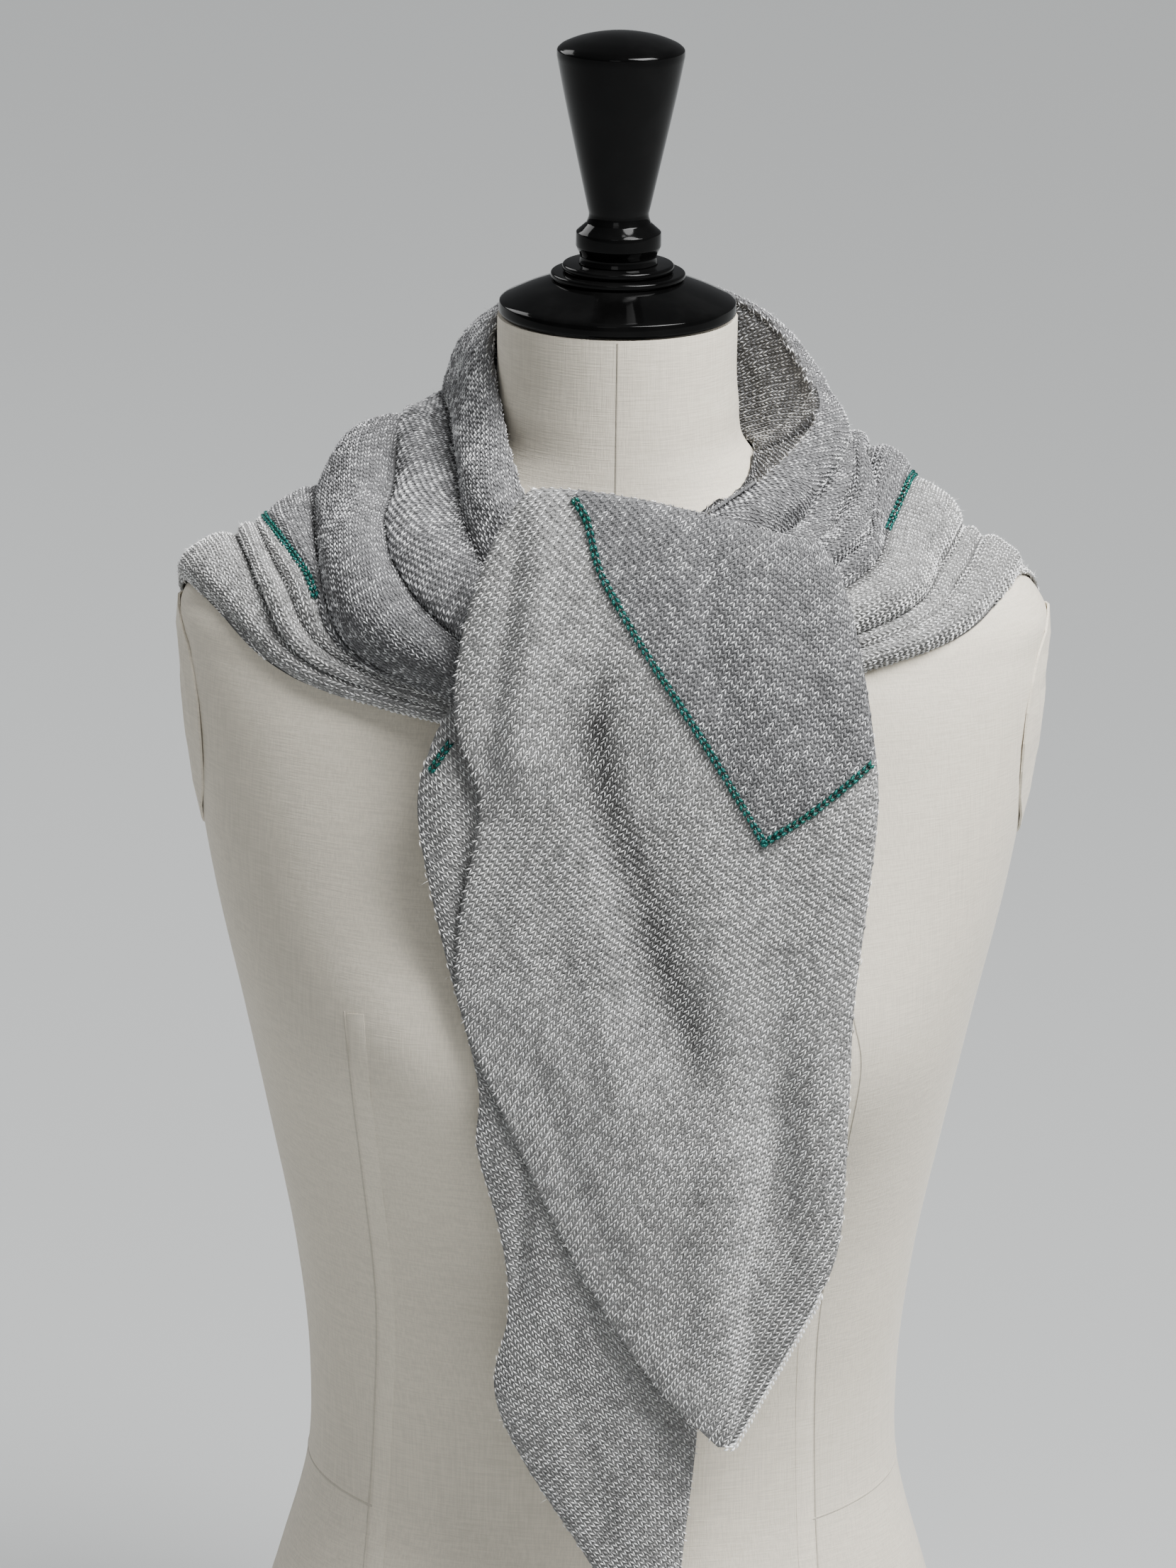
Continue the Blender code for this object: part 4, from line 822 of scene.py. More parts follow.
def lengths_along(points, axis=0):
    """How far along one axis of a grid each of its points lies."""
    runs = np.cumsum(np.linalg.norm(np.diff(points, axis=axis), axis=-1), axis=axis)
    return np.concatenate((np.zeros_like(np.take(runs, [0], axis=axis)), runs), axis=axis)


def unit(vectors):
    """Vectors of length one along the last axis."""
    return vectors / np.maximum(np.linalg.norm(vectors, axis=-1, keepdims=True), 1e-9)


def grid_normals(grid, passes=1):
    """Unit normals of a grid of points, evened out between neighbours."""
    normals = unit(np.cross(np.gradient(grid, axis=1), np.gradient(grid, axis=0)))
    for _ in range(passes):
        spread = np.pad(normals, ((1, 1), (1, 1), (0, 0)), mode="edge")
        normals = unit(2.0 * normals + spread[:-2, 1:-1] + spread[2:, 1:-1]
                       + spread[1:-1, :-2] + spread[1:-1, 2:])
    return normals


def ripple(places, number):
    """A slow uneven wave from -1 to 1, different for each number."""
    return (0.6 * np.sin(places * 2.1 + number * 1.7) + 0.4 * np.sin(places * 4.7 + number * 2.9))


def lift_clear(grid, tree, clearance, rounds=3):
    """Move a grid's points out of a solid, straight away from its nearest faces."""
    points = grid.reshape(-1, 3)
    for _ in range(rounds):
        for index, point in enumerate(points):
            place = Vector(point)
            near, normal, _, distance = tree.find_nearest(place)
            short = clearance - math.copysign(distance, (place - near).dot(normal))
            if short > 0.0:
                points[index] += np.array(normal) * short


def push_out(grid, tree, clearance, way):
    """Move a grid clear of a solid, along +Y behind it (way 1) or along -Y before it (way -1)."""
    for point in grid.reshape(-1, 3):
        hit = cast(tree, point[0], point[2], way)[0]
        if hit is not None:
            point[1] = way * max(way * point[1], way * hit.y + clearance)


def even_out(grid, rounds, share=0.5):
    """Soften a grid inside its edges."""
    for _ in range(rounds):
        inside = (grid[:-2, 1:-1] + grid[2:, 1:-1] + grid[1:-1, :-2] + grid[1:-1, 2:]) / 4.0
        grid[1:-1, 1:-1] += (inside - grid[1:-1, 1:-1]) * share


def rolled_grid(creases, rolls, slits, behind, side, torso_tree):
    """Grid of one side of the worn cloth: rows from centre back to tie, columns neck to edge."""
    places = station_places()
    paths = np.array([crease_path(crease, after, side) for crease, after in zip(creases, behind)])
    level = paths.copy()
    for slit in slits:
        chord = level[slit.crease + 1] - level[slit.crease - 1]
        inward = unit(np.cross(np.gradient(level[slit.crease], axis=0), chord) * -side)
        depth = slit.depth * np.exp(-((places - slit.place) / slit.length) ** 2)
        paths[slit.crease] += inward * depth[:, None]
    columns = []
    for index, roll in enumerate(rolls):
        inner = paths[index]
        outer = paths[index + 1]
        chord = outer - inner
        width = np.linalg.norm(chord, axis=1)
        normal = unit(np.cross(np.gradient((inner + outer) / 2.0, axis=0), chord) * side)
        heights = (roll.back, roll.back, roll.back, roll.shoulder, roll.high, roll.low, roll.tie)
        rise = np.interp(places, range(len(heights)), heights)
        rise = np.minimum(rise * (1.0 + ROLL_WAVE * ripple(places * 2.0, index)), ROLL_STEEPNESS * width)
        drag = np.minimum(WRINKLE_DEPTH, WRINKLE_SHARE * width)
        for step in range(roll.strips):
            part = step / roll.strips
            hump = math.sin(math.pi * part) ** ROLL_FULLNESS
            lean = roll.lean * rise * hump / np.maximum(width, 1e-9)
            wrinkle = drag * hump * np.sin(2.0 * math.pi * (1.3 * part + 0.35 * places) + 2.0 * index)
            columns.append(inner + chord * (part + lean)[:, None]
                           + normal * (rise * hump + wrinkle)[:, None])
    columns.append(paths[-1])
    grid = np.stack(columns, axis=1)
    even_out(grid, 2, 0.35)
    clearance = CLOTH / 2.0 + CLEARANCE
    push_out(grid[:BACK_PUSHED], torso_tree, clearance, 1.0)
    lift_clear(grid, torso_tree, clearance)
    return np.concatenate((turned_fold(grid, torso_tree, clearance), grid,
                           turned_hem(grid, torso_tree, clearance)), axis=1)


def turned_fold(grid, torso_tree, clearance):
    """Strips that carry the cloth over the fold edge to the neck side, innermost first."""
    edge = grid[:, 0]
    away = unit(edge - grid[:, 1])
    outward = grid_normals(grid)[:, 0]
    facing_out = (outward * (edge * np.array([1.0, 1.0, 0.0]))).sum(axis=1) > 0.0
    outward = np.where(facing_out[:, None], outward, -outward)
    turns = [math.pi * step / FOLD_TURN for step in range(FOLD_TURN, 0, -1)]
    strips = np.stack([edge + away * FOLD_RADIUS * math.sin(turn)
                       - outward * FOLD_RADIUS * (1.0 - math.cos(turn)) for turn in turns], axis=1)
    lift_clear(strips, torso_tree, clearance)
    return strips


def turned_hem(grid, torso_tree, clearance):
    """Strips that bring the outer edge down to the torso, where it curls in."""
    edge = grid[:, -1]
    outward = unit(edge - grid[:, -3])
    target = np.zeros_like(edge)
    for index, point in enumerate(edge):
        near, normal, _, _ = torso_tree.find_nearest(Vector(point + outward[index] * HEM_BULGE))
        seat = np.array(near + normal * clearance)
        reach = min(1.0, HEM_DEPTH / max(np.linalg.norm(seat - point), 1e-6))
        target[index] = point + (seat - point) * reach + outward[index] * HEM_OUT
    parts = [step / HEM_TURN for step in range(1, HEM_TURN + 1)]
    return np.stack([edge + (target - edge) * part + outward * HEM_BULGE * math.sin(math.pi * part)
                     for part in parts], axis=1)


def inner_collar_grid(whole, middle_row, torso_tree):
    """Inner layer of the folded scarf, from the fold edge down to the foot of the neck."""
    rows = range(middle_row - BACK_STEPS - INNER_LEFT_STEPS, middle_row + BACK_STEPS + INNER_RIGHT_STEPS)
    grid = np.zeros((len(rows), INNER_STRIPS + 1, 3))
    for place, row in enumerate(rows):
        edge = whole[row, 0]
        turned = edge + unit(edge - whole[row, 1]) * INNER_TURN
        angle = math.atan2(edge[1], edge[0])
        outward = np.array([math.cos(angle), math.sin(angle), 0.0])
        foot = np.array([INNER_FOOT_HALF_WIDTH * outward[0], INNER_FOOT_HALF_DEPTH * outward[1],
                         min(INNER_FOOT_HEIGHT, edge[2] - INNER_LEAST_FALL)])
        for strip in range(INNER_STRIPS + 1):
            part = strip / INNER_STRIPS
            sag = INNER_BULGE * math.sin(math.pi * part) + INNER_WAVE * ripple(angle * 3.0 + part * 4.0, 3)
            grid[place, strip] = turned * (1.0 - part) + foot * part + outward * sag * min(1.0, 6.0 * part)
    lift_clear(grid, torso_tree, CLOTH / 2.0 + CLEARANCE)
    return grid


def tail_grid(table, folds):
    """Grid of a hanging end: rows down its length, columns from its left to its right edge."""
    numbers = np.array([row[1:] for row in table])
    rows = smooth_rows(numbers, TAIL_ROWS)
    part = np.linspace(0.0, 1.0, TAIL_COLUMNS)
    swell = np.abs(2.0 * part - 1.0) ** CURL_TIGHTNESS
    dip = np.exp(-((part - VALLEY_PLACE) / VALLEY_WIDTH) ** 2)
    arch = 1.0 - (2.0 * part ** CROWN_SKEW - 1.0) ** 2
    grid = np.zeros((TAIL_ROWS, TAIL_COLUMNS, 3))
    for place, (left, left_height, right, right_height, crown, depth, curl, valley) in enumerate(rows):
        grid[place, :, 0] = left + (right - left) * part
        grid[place, :, 1] = -depth + curl * swell + valley * dip
        grid[place, :, 2] = left_height + (right_height - left_height) * part + crown * arch
    for fold in folds:
        grid[..., 1] += fold_depth(grid, fold)
    return grid


def fold_depth(grid, fold):
    """Depth of one soft fold at every point: deepest in its middle, running out at both ends."""
    start = np.array(fold.top)
    way = np.array(fold.bottom) - start
    length = np.linalg.norm(way)
    way /= length
    offset = grid[..., (0, 2)] - start
    along = offset @ way / length
    aside = offset @ np.array([way[1], -way[0]]) + FOLD_WANDER * fold.width * np.sin(along * 7.0)
    fade = np.clip(np.minimum(along + FOLD_ENDS, 1.0 + FOLD_ENDS - along) / FOLD_FADE, 0.0, 1.0)
    return fold.depth * np.exp(-(aside / fold.width) ** 2) * fade * fade * (3.0 - 2.0 * fade)


def tie_rings(whole, columns):
    """Rings of the bunched band between the ends of both wraps."""
    ends = []
    for row, inward in ((0, 1.0), (-1, -1.0)):
        line = whole[row, columns] + np.array([inward * TIE_INSET, 0.0, 0.0])
        places = (np.arange(len(line)) + 0.5) / len(line)
        depth = np.outer(np.sin(math.pi * places), (0.0, TIE_HALF_DEPTH, 0.0))
        ends.append(np.concatenate((line - depth, (line + depth)[::-1])))
    rings = []
    for part in np.linspace(0.0, 1.0, TIE_SECTIONS):
        ring = ends[0] * (1.0 - part) + ends[1] * part
        centre = ring.mean(axis=0)
        rings.append(centre + (ring - centre) * (1.0 - TIE_BUNCHING * math.sin(math.pi * part)))
    return np.array(rings)


# ------------------------------------------------------------------ cloth meshes
Band = namedtuple("Band", "rows columns wales")      # half-open ranges of grid rows and columns


def knit_layout(grid, bands):
    """Knit coordinates and wale directions at the corners of each face.

    A band of columns has its own island: metres along it and across it, turned by the angle that
    its wales make with its length. Islands lie apart, so the stitches never cross a deep crease.
    """
    rows, columns = grid.shape[0] - 1, grid.shape[1] - 1
    places = np.zeros((rows, columns, 4, 2))
    wales = np.zeros((rows, columns, 4, 3))
    floor = 0.0
    for band in bands:
        block = grid[band.rows[0]:band.rows[1] + 1, band.columns[0]:band.columns[1] + 1]
        middle = block.shape[1] // 2
        along = lengths_along(block[:, middle])[:, None]
        across = lengths_along(block, 1)
        across -= across[:, middle:middle + 1]
        turn = math.radians(band.wales)
        up = (along * math.cos(turn) - across * math.sin(turn)) * CM
        side = (along * math.sin(turn) + across * math.cos(turn)) * CM
        up -= up.min()
        side += floor - side.min()
        floor = side.max() + ISLAND_GAP
        way = unit(unit(np.gradient(block, axis=0)) * math.cos(turn)
                   - unit(np.gradient(block, axis=1)) * math.sin(turn))
        spot = np.stack((up, side), axis=2)
        here = (slice(*band.rows), slice(*band.columns))
        for corner, (down, right) in enumerate(((0, 0), (0, 1), (1, 1), (1, 0))):
            part = (slice(down, len(spot) - 1 + down), slice(right, spot.shape[1] - 1 + right))
            places[(*here, corner)] = spot[part]
            wales[(*here, corner)] = way[part]
    return places.reshape(-1, 4, 2), wales.reshape(-1, 4, 3)


def grid_quads(rows, columns):
    """Corner indices of the faces of a grid."""
    corner = (np.arange(rows - 1)[:, None] * columns + np.arange(columns - 1)[None, :]).reshape(-1)
    return np.stack((corner, corner + 1, corner + columns + 1, corner + columns), axis=1)


def hollow_shade(grid, normals):
    """Painted shade in the troughs: how deep each point lies between the rolls beside it, from 0 on a roll to
    HOLLOW_SHADE.
    """
    depth = np.zeros(grid.shape[:2])
    for index, row in enumerate(grid):
        across = lengths_along(row)
        share = np.exp(-((across[:, None] - across[None, :]) / HOLLOW_REACH) ** 2)
        share *= np.gradient(across)[None, :]
        level = share @ row / share.sum(axis=1)[:, None]
        depth[index] = ((level - row) * normals[index]).sum(axis=1)
    return HOLLOW_SHADE * np.clip(depth / HOLLOW_DEPTH, 0.0, 1.0)


class Cloth:
    """A stretch of the scarf: its middle surface and all that its wall and stitches need."""

    def __init__(self, grid, bands, border, shade=None):
        self.grid = grid
        self.normals = grid_normals(grid)
        self.places, self.wales = knit_layout(grid, bands)
        self.border = border
        self.shade = np.zeros(grid.shape[:2]) if shade is None else shade
        self.quads = grid_quads(*grid.shape[:2])

    def turn_over(self):
        """Make the other side of the cloth its right side."""
        self.normals = -self.normals
        self.quads = self.quads[:, ::-1]
        self.places = self.places[:, ::-1]
        self.wales = self.wales[:, ::-1]

    def right_side(self, lift=0.0):
        """Points of the right side, moved out by lift."""
        return self.grid + self.normals * (CLOTH / 2.0 + lift)

    def wall(self, name, material):
        """The closed wall of cloth, with its knit coordinates and attributes."""
        rows, columns = self.grid.shape[:2]
        total = rows * columns
        points = np.concatenate((self.right_side().reshape(-1, 3),
                                 (self.grid - self.normals * CLOTH / 2.0).reshape(-1, 3)))
        rim = np.array(rim_of(rows, columns))
        after = np.roll(rim, -1)
        sides = np.stack((after, rim, total + rim, total + after), axis=1)
        if self.quads[0, 1] != 1:
            sides = sides[:, ::-1]
        point_place = np.zeros((total, 2))
        point_place[self.quads.reshape(-1)] = self.places.reshape(-1, 2)
        faces = np.concatenate((self.quads, total + self.quads[:, ::-1], sides))
        places = np.concatenate((self.places, self.places[:, ::-1], point_place[sides % total]))
        mesh = mesh_from(name, points, faces.tolist())
        self.add_layers(mesh, places, 2)
        return link_mesh(name, mesh, material)

    def surface(self, name, rows=ALL, columns=ALL):
        """The right side alone, or a stretch of it, as the ground that stitches are set on."""
        shape = self.grid.shape[:2]
        chosen = np.zeros((shape[0] - 1, shape[1] - 1), dtype=bool)
        chosen[slice(*rows), slice(*columns)] = True
        chosen = chosen.reshape(-1)
        mesh = mesh_from(name, self.right_side().reshape(-1, 3), self.quads[chosen].tolist())
        self.add_layers(mesh, self.places[chosen], 1)
        ways = mesh.attributes.new("wale", "FLOAT_VECTOR", "CORNER")
        ways.data.foreach_set("vector", self.wales[chosen].astype(np.float32).ravel())
        return link_mesh(name, mesh, None)

    def add_layers(self, mesh, places, sides):
        """Write the knit coordinates and the point attributes to a mesh."""
        write_places(mesh, places)
        border, shade = (np.tile(values.ravel(), sides) for values in (self.border, self.shade))
        write_values(mesh, border=border, shade=shade)


# ------------------------------------------------------------------ materials
def border_share(tree):
    """1 on the border and 0 in the centre of the square."""
    return map_range(tree, attribute(tree, "border"), -0.0006, 0.0006)


def shaded(tree, lightness, share):
    """A lightness brought down by a share of the painted shade stored on the cloth."""
    dark = calculate(tree, "MULTIPLY", attribute(tree, "shade"), share)
    return calculate(tree, "MULTIPLY", lightness, calculate(tree, "SUBTRACT", 1.0, dark))


def knit_ground_material(name, settings):
    """The cloth between its stitches: marl colours dimmed by painted shade, the openings of the knit darker
    with more painted shade, and its halo.
    """
    made, tree, shader = new_material(name, 0.95, sheen_weight=0.12, sheen_roughness=0.5)
    place = add_node(tree, "ShaderNodeUVMap", uv_map=UV_NAME).outputs[0]
    split = add_node(tree, "ShaderNodeSeparateXYZ", {0: place})
    course = calculate(tree, "COSINE", calculate(
        tree, "MULTIPLY", split.outputs[0], 2.0 * math.pi / settings.course_height))
    wale = calculate(tree, "COSINE", calculate(
        tree, "MULTIPLY", split.outputs[1], 2.0 * math.pi / settings.wale_width))
    opening = map_range(tree, calculate(tree, "MULTIPLY", course, wale), 0.1, 0.9)
    spot = object_place(tree)
    mottle = noise(tree, spot, 55.0, 3.0)
    fleck = noise(tree, spot, 900.0, 2.0, 0.7)
    on_border = border_share(tree)
    # The ground is a fraction of the yarn's colour: painted shade seen between the stitches.
    colour = blend_colours(tree, on_border, colour4(settings.centre_colour, 0.30),
                           colour4(settings.border_colour, 0.23))
    lightness = calculate(tree, "ADD", map_range(tree, mottle, 0.3, 0.7, -0.10, 0.10),
                          map_range(tree, fleck, 0.35, 0.7, 0.86, 1.22))
    # The knit's openings are darker still: painted shade seen through them.
    lightness = calculate(tree, "MULTIPLY", lightness, calculate(
        tree, "SUBTRACT", 1.0, calculate(tree, "MULTIPLY", opening, 0.22)))
    # Painted shade from the cloth's shade attribute: troughs, the inner collar and the tie showing through.
    lightness = shaded(tree, lightness, 0.85)
    paint(tree, shader, lightened(tree, colour, lightness))
    height = calculate(tree, "SUBTRACT", calculate(tree, "MULTIPLY", fleck, 0.8), opening)
    add_bump(tree, shader, height, 0.0005, 0.8)
    return made


def knit_thread_material(name, settings):
    """The stitches themselves: marl thread from mid grey to bright white flecks."""
    made, tree, shader = new_material(name, 0.9, sheen_weight=0.12, sheen_roughness=0.5)
    spot = object_place(tree)
    mottle = noise(tree, spot, 45.0, 3.0)
    on_border = border_share(tree)
    colour = blend_colours(tree, on_border, colour4(settings.centre_colour), colour4(settings.border_colour))
    tint = attribute(tree, "tint")
    fleck = map_range(tree, tint, 0.55, 1.0)
    colour = blend_colours(tree, calculate(tree, "MULTIPLY", fleck, 0.9), colour, (0.97, 0.975, 0.98, 1.0))
    lightness = calculate(tree, "ADD", map_range(tree, mottle, 0.3, 0.7, -0.08, 0.08),
                          map_range(tree, tint, 0.0, 0.6, 0.46, 1.10))
    # Painted shade from the cloth's shade attribute, weaker than on the ground.
    lightness = shaded(tree, lightness, 0.48)
    paint(tree, shader, lightened(tree, colour, lightness))
    add_bump(tree, shader, noise(tree, spot, 2600.0, 2.0, 0.7), 0.0002, 0.6)
    return made


def teal_material(settings):
    """Metallic teal thread that drifts between green and blue, with painted glints of brighter teal."""
    made, tree, shader = new_material("teal_metallic_thread", 0.32, metallic=0.8)
    spot = object_place(tree)
    glint = noise(tree, spot, 2300.0, 1.0, 0.8)
    drift = noise(tree, spot, 130.0, 2.0)
    colour = blend_colours(tree, map_range(tree, drift, 0.35, 0.65), colour4(settings.teal_colour),
                           (0.006, 0.11, 0.10, 1.0))
    # Painted glints: small spots of much brighter teal in the base colour.
    colour = blend_colours(tree, map_range(tree, glint, 0.59, 0.71), colour, (0.20, 0.66, 0.60, 1.0))
    paint(tree, shader, colour)
    add_bump(tree, shader, glint, 0.0004, 1.0)
    return made


def linen_material(name, settings, shade=1.0):
    """Tightly pulled unbleached linen: a fine plain weave with uneven threads."""
    made, tree, shader = new_material(name, 0.88, sheen_weight=0.12, sheen_roughness=0.5)
    spot = object_place(tree)
    weft = noise(tree, stretched(tree, spot, (90.0, 90.0, 1500.0)), 1.0, 2.0, 0.6)
    warp = noise(tree, stretched(tree, spot, (1400.0, 1400.0, 60.0)), 1.0, 2.0, 0.6)
    threads = calculate(tree, "ADD", weft, warp)
    cloud = noise(tree, spot, 9.0, 3.0)
    slub = map_range(tree, noise(tree, spot, 260.0, 2.0, 0.8), 0.68, 0.80)
    lightness = calculate(tree, "ADD", map_range(tree, threads, 0.7, 1.3, 0.90, 1.06),
                          map_range(tree, cloud, 0.3, 0.7, -0.03, 0.03))
    lightness = calculate(tree, "SUBTRACT", lightness, calculate(tree, "MULTIPLY", slub, 0.10))
    colour = colour4(settings.linen_colour, shade)
    paint(tree, shader, lightened(tree, colour, lightness))
    add_bump(tree, shader, threads, 0.00025, 0.5)
    return made


def lacquer_material(settings):
    """Black gloss lacquer on turned wood, with the faint waves of a brushed coat."""
    made, tree, shader = new_material("black_gloss_lacquer", 0.09, specular_ior_level=0.10,
                                      coat_weight=0.05, coat_roughness=0.03)
    spot = object_place(tree)
    smear = noise(tree, spot, 60.0, 3.0)
    lightness = map_range(tree, smear, 0.35, 0.75, 1.0, 2.2)
    colour = lightened(tree, colour4(settings.lacquer_colour), lightness)
    paint(tree, shader, colour)
    tree.links.new(map_range(tree, smear, 0.35, 0.75, 0.07, 0.14), shader.inputs["Roughness"])
    add_bump(tree, shader, noise(tree, spot, 35.0, 2.0), 0.0004, 0.25)
    return made


def board_material(settings):
    """Satin varnished board with its grain along X."""
    made, tree, shader = new_material("varnished_board", 0.42, coat_weight=0.3, coat_roughness=0.2)
    lines = noise(tree, stretched(tree, object_place(tree), (4.0, 70.0, 40.0)), 1.5, 4.0, 0.6)
    colour = blend_colours(tree, map_range(tree, lines, 0.35, 0.65), colour4(settings.wood_colour, 0.45),
                           colour4(settings.wood_colour))
    paint(tree, shader, colour)
    add_bump(tree, shader, lines, 0.0003, 0.5)
    return made


# ------------------------------------------------------------------ geometry node groups
def new_group(name, sockets):
    """A geometry node tree, the values given to it by name, and the socket for its result."""
    tree = bpy.data.node_groups.new(name, "GeometryNodeTree")
    tree.interface.new_socket("Geometry", in_out="INPUT", socket_type="NodeSocketGeometry")
    tree.interface.new_socket("Geometry", in_out="OUTPUT", socket_type="NodeSocketGeometry")
    for socket, kind in sockets:
        tree.interface.new_socket(socket, in_out="INPUT", socket_type="NodeSocket" + kind)
    return tree, tree.nodes.new("NodeGroupInput").outputs, tree.nodes.new("NodeGroupOutput").inputs[0]


def named(tree, name, data_type="FLOAT_VECTOR"):
    """A named attribute's field."""
    made = add_node(tree, "GeometryNodeInputNamedAttribute", {"Name": name}, data_type=data_type)
    return made.outputs["Attribute"]


def random_value(tree, low, high, data_type="FLOAT", seed=None, number=0.0):
    """A random value for each point or instance, from a seed and its own number."""
    made = add_node(tree, "FunctionNodeRandomValue", data_type=data_type)
    sockets = [socket for socket in made.inputs if socket.enabled]
    sockets[0].default_value = low
    sockets[1].default_value = high
    if seed is not None:
        tree.links.new(calculate(tree, "ADD", seed, number), made.inputs["Seed"])
    return next(socket for socket in made.outputs if socket.enabled)


def store(tree, geometry, name, value, data_type="FLOAT"):
    """Geometry with a value stored on it under a name."""
    return add_node(tree, "GeometryNodeStoreNamedAttribute",
                    {"Geometry": geometry, "Name": name, "Value": value}, data_type=data_type).outputs[0]


def set_on_points(tree, points, source, turn, size, material, result):
    """Set a source object on points, and end the tree with real meshes that have their material."""
    shape = add_node(tree, "GeometryNodeObjectInfo", {"Object": source}).outputs["Geometry"]
    copies = add_node(tree, "GeometryNodeInstanceOnPoints", {
        "Points": points, "Instance": shape, "Rotation": turn.outputs[0], "Scale": size})
    real = add_node(tree, "GeometryNodeRealizeInstances", {0: copies.outputs[0]})
    dressed = add_node(tree, "GeometryNodeSetMaterial", {"Geometry": real.outputs[0], "Material": material})
    tree.links.new(dressed.outputs[0], result)


def stitch_group():
    """Sets one stitch on every place of a knit lattice that the cloth covers."""
    tree, given, result = new_group("Knit stitches", (
        ("Stitch", "Object"), ("Course height", "Float"), ("Wale width", "Float"), ("Courses", "Int"),
        ("Wales", "Int"), ("Unevenness", "Float"), ("Seed", "Int"), ("Material", "Material")))
    height = given["Course height"]
    width = given["Wale width"]
    seed = given["Seed"]
    length = calculate(tree, "MULTIPLY", given["Courses"], height)
    breadth = calculate(tree, "MULTIPLY", given["Wales"], width)
    lattice = add_node(tree, "GeometryNodeMeshGrid", {
        "Size X": length, "Size Y": breadth, "Vertices X": given["Courses"],
        "Vertices Y": given["Wales"]}).outputs[0]
    middle = add_node(tree, "ShaderNodeCombineXYZ", {
        0: calculate(tree, "MULTIPLY", length, 0.5), 1: calculate(tree, "MULTIPLY", breadth, 0.5)}).outputs[0]
    cell = add_node(tree, "ShaderNodeCombineXYZ", {0: height, 1: width}).outputs[0]
    stray = random_value(tree, (-1.0, -1.0, 0.0), (1.0, 1.0, 0.0), "FLOAT_VECTOR", seed)
    stray = vector_math(tree, "SCALE", vector_math(tree, "MULTIPLY", stray, cell), given["Unevenness"])
    shift = vector_math(tree, "ADD", middle, stray)
    lattice = add_node(tree, "GeometryNodeSetPosition", {0: lattice, "Offset": shift}).outputs[0]
    here = add_node(tree, "GeometryNodeInputPosition").outputs[0]
    lattice = store(tree, lattice, "place", here, "FLOAT_VECTOR")

    def sampled(value, data_type="FLOAT_VECTOR"):
        """The cloth's value where each lattice point falls on it."""
        return add_node(tree, "GeometryNodeSampleUVSurface", {
            0: given["Geometry"], 1: value, 2: named(tree, UV_NAME), 3: named(tree, "place")},
            data_type=data_type)

    position = sampled(here)
    for name in ("border", "shade"):
        value = sampled(named(tree, name, "FLOAT"), "FLOAT").outputs[0]
        lattice = store(tree, lattice, name, value)
    lattice = store(tree, lattice, "tint", random_value(tree, 0.0, 1.0, "FLOAT", seed, 5.0))
    for name, value in (("facing", add_node(tree, "GeometryNodeInputNormal").outputs[0]),
                        ("way", named(tree, "wale"))):
        lattice = store(tree, lattice, name, sampled(value).outputs[0], "FLOAT_VECTOR")
    outside = add_node(tree, "FunctionNodeBooleanMath", {0: position.outputs["Is Valid"]}, operation="NOT")
    lattice = add_node(tree, "GeometryNodeDeleteGeometry", {0: lattice, 1: outside.outputs[0]}).outputs[0]
    lattice = add_node(tree, "GeometryNodeSetPosition",
                       {0: lattice, "Position": position.outputs[0]}).outputs[0]
    turn = add_node(tree, "FunctionNodeAxesToRotation", {0: named(tree, "facing"), 1: named(tree, "way")},
                    primary_axis="Z", secondary_axis="Y")
    size = random_value(tree, *STITCH_SIZES, "FLOAT_VECTOR", seed, 9.0)
    set_on_points(tree, lattice, given["Stitch"], turn, size, given["Material"], result)
    return tree


def chain_group():
    """Sets links, one after the other, along a line that keeps its outward direction."""
    tree, given, result = new_group("Chain along a line", (
        ("Link", "Object"), ("Spacing", "Float"), ("Material", "Material")))
    line = add_node(tree, "GeometryNodeMeshToCurve", {0: given["Geometry"]}).outputs[0]
    line = add_node(tree, "GeometryNodeResampleCurve", {"Curve": line, "Length": given["Spacing"]},
                    mode="LENGTH").outputs[0]
    tangent = add_node(tree, "GeometryNodeInputTangent").outputs[0]
    turn = add_node(tree, "FunctionNodeAxesToRotation", {0: named(tree, "facing"), 1: tangent},
                    primary_axis="Z", secondary_axis="Y")
    size = random_value(tree, *LINK_SIZES)
    set_on_points(tree, line, given["Link"], turn, size, given["Material"], result)
    return tree


def halo_group():
    """Scatters loose fibres over cloth, each leaning its own way."""
    tree, given, result = new_group("Halo of fibres", (
        ("Fibre", "Object"), ("Density", "Float"), ("Seed", "Int"), ("Material", "Material")))
    spread = add_node(tree, "GeometryNodeDistributePointsOnFaces", {
        "Mesh": given["Geometry"], "Density": given["Density"], "Seed": given["Seed"]})
    most = np.array((HALO_LEAN, HALO_LEAN, math.pi))
    lean = random_value(tree, -most, most, "FLOAT_VECTOR")
    turn = add_node(tree, "FunctionNodeRotateRotation", {0: spread.outputs["Rotation"], 1: lean},
                    rotation_space="LOCAL")
    size = random_value(tree, *FIBRE_SIZES)
    set_on_points(tree, spread.outputs["Points"], given["Fibre"], turn, size, given["Material"], result)
    return tree


def grow(ground, group, values, name, material):
    """Run a node group on a ground object and keep only the result, as a plain mesh object."""
    modifier = ground.modifiers.new("Grow", "NODES")
    modifier.node_group = group
    values = {**values, "Material": material}
    for item in group.interface.items_tree:
        if item.in_out == "INPUT" and item.name in values:
            modifier[item.identifier] = values[item.name]
    mesh = plain_mesh(ground)
    ground.modifiers.remove(modifier)
    bpy.data.objects.remove(ground, do_unlink=True)
    return link_mesh(name, mesh, material)


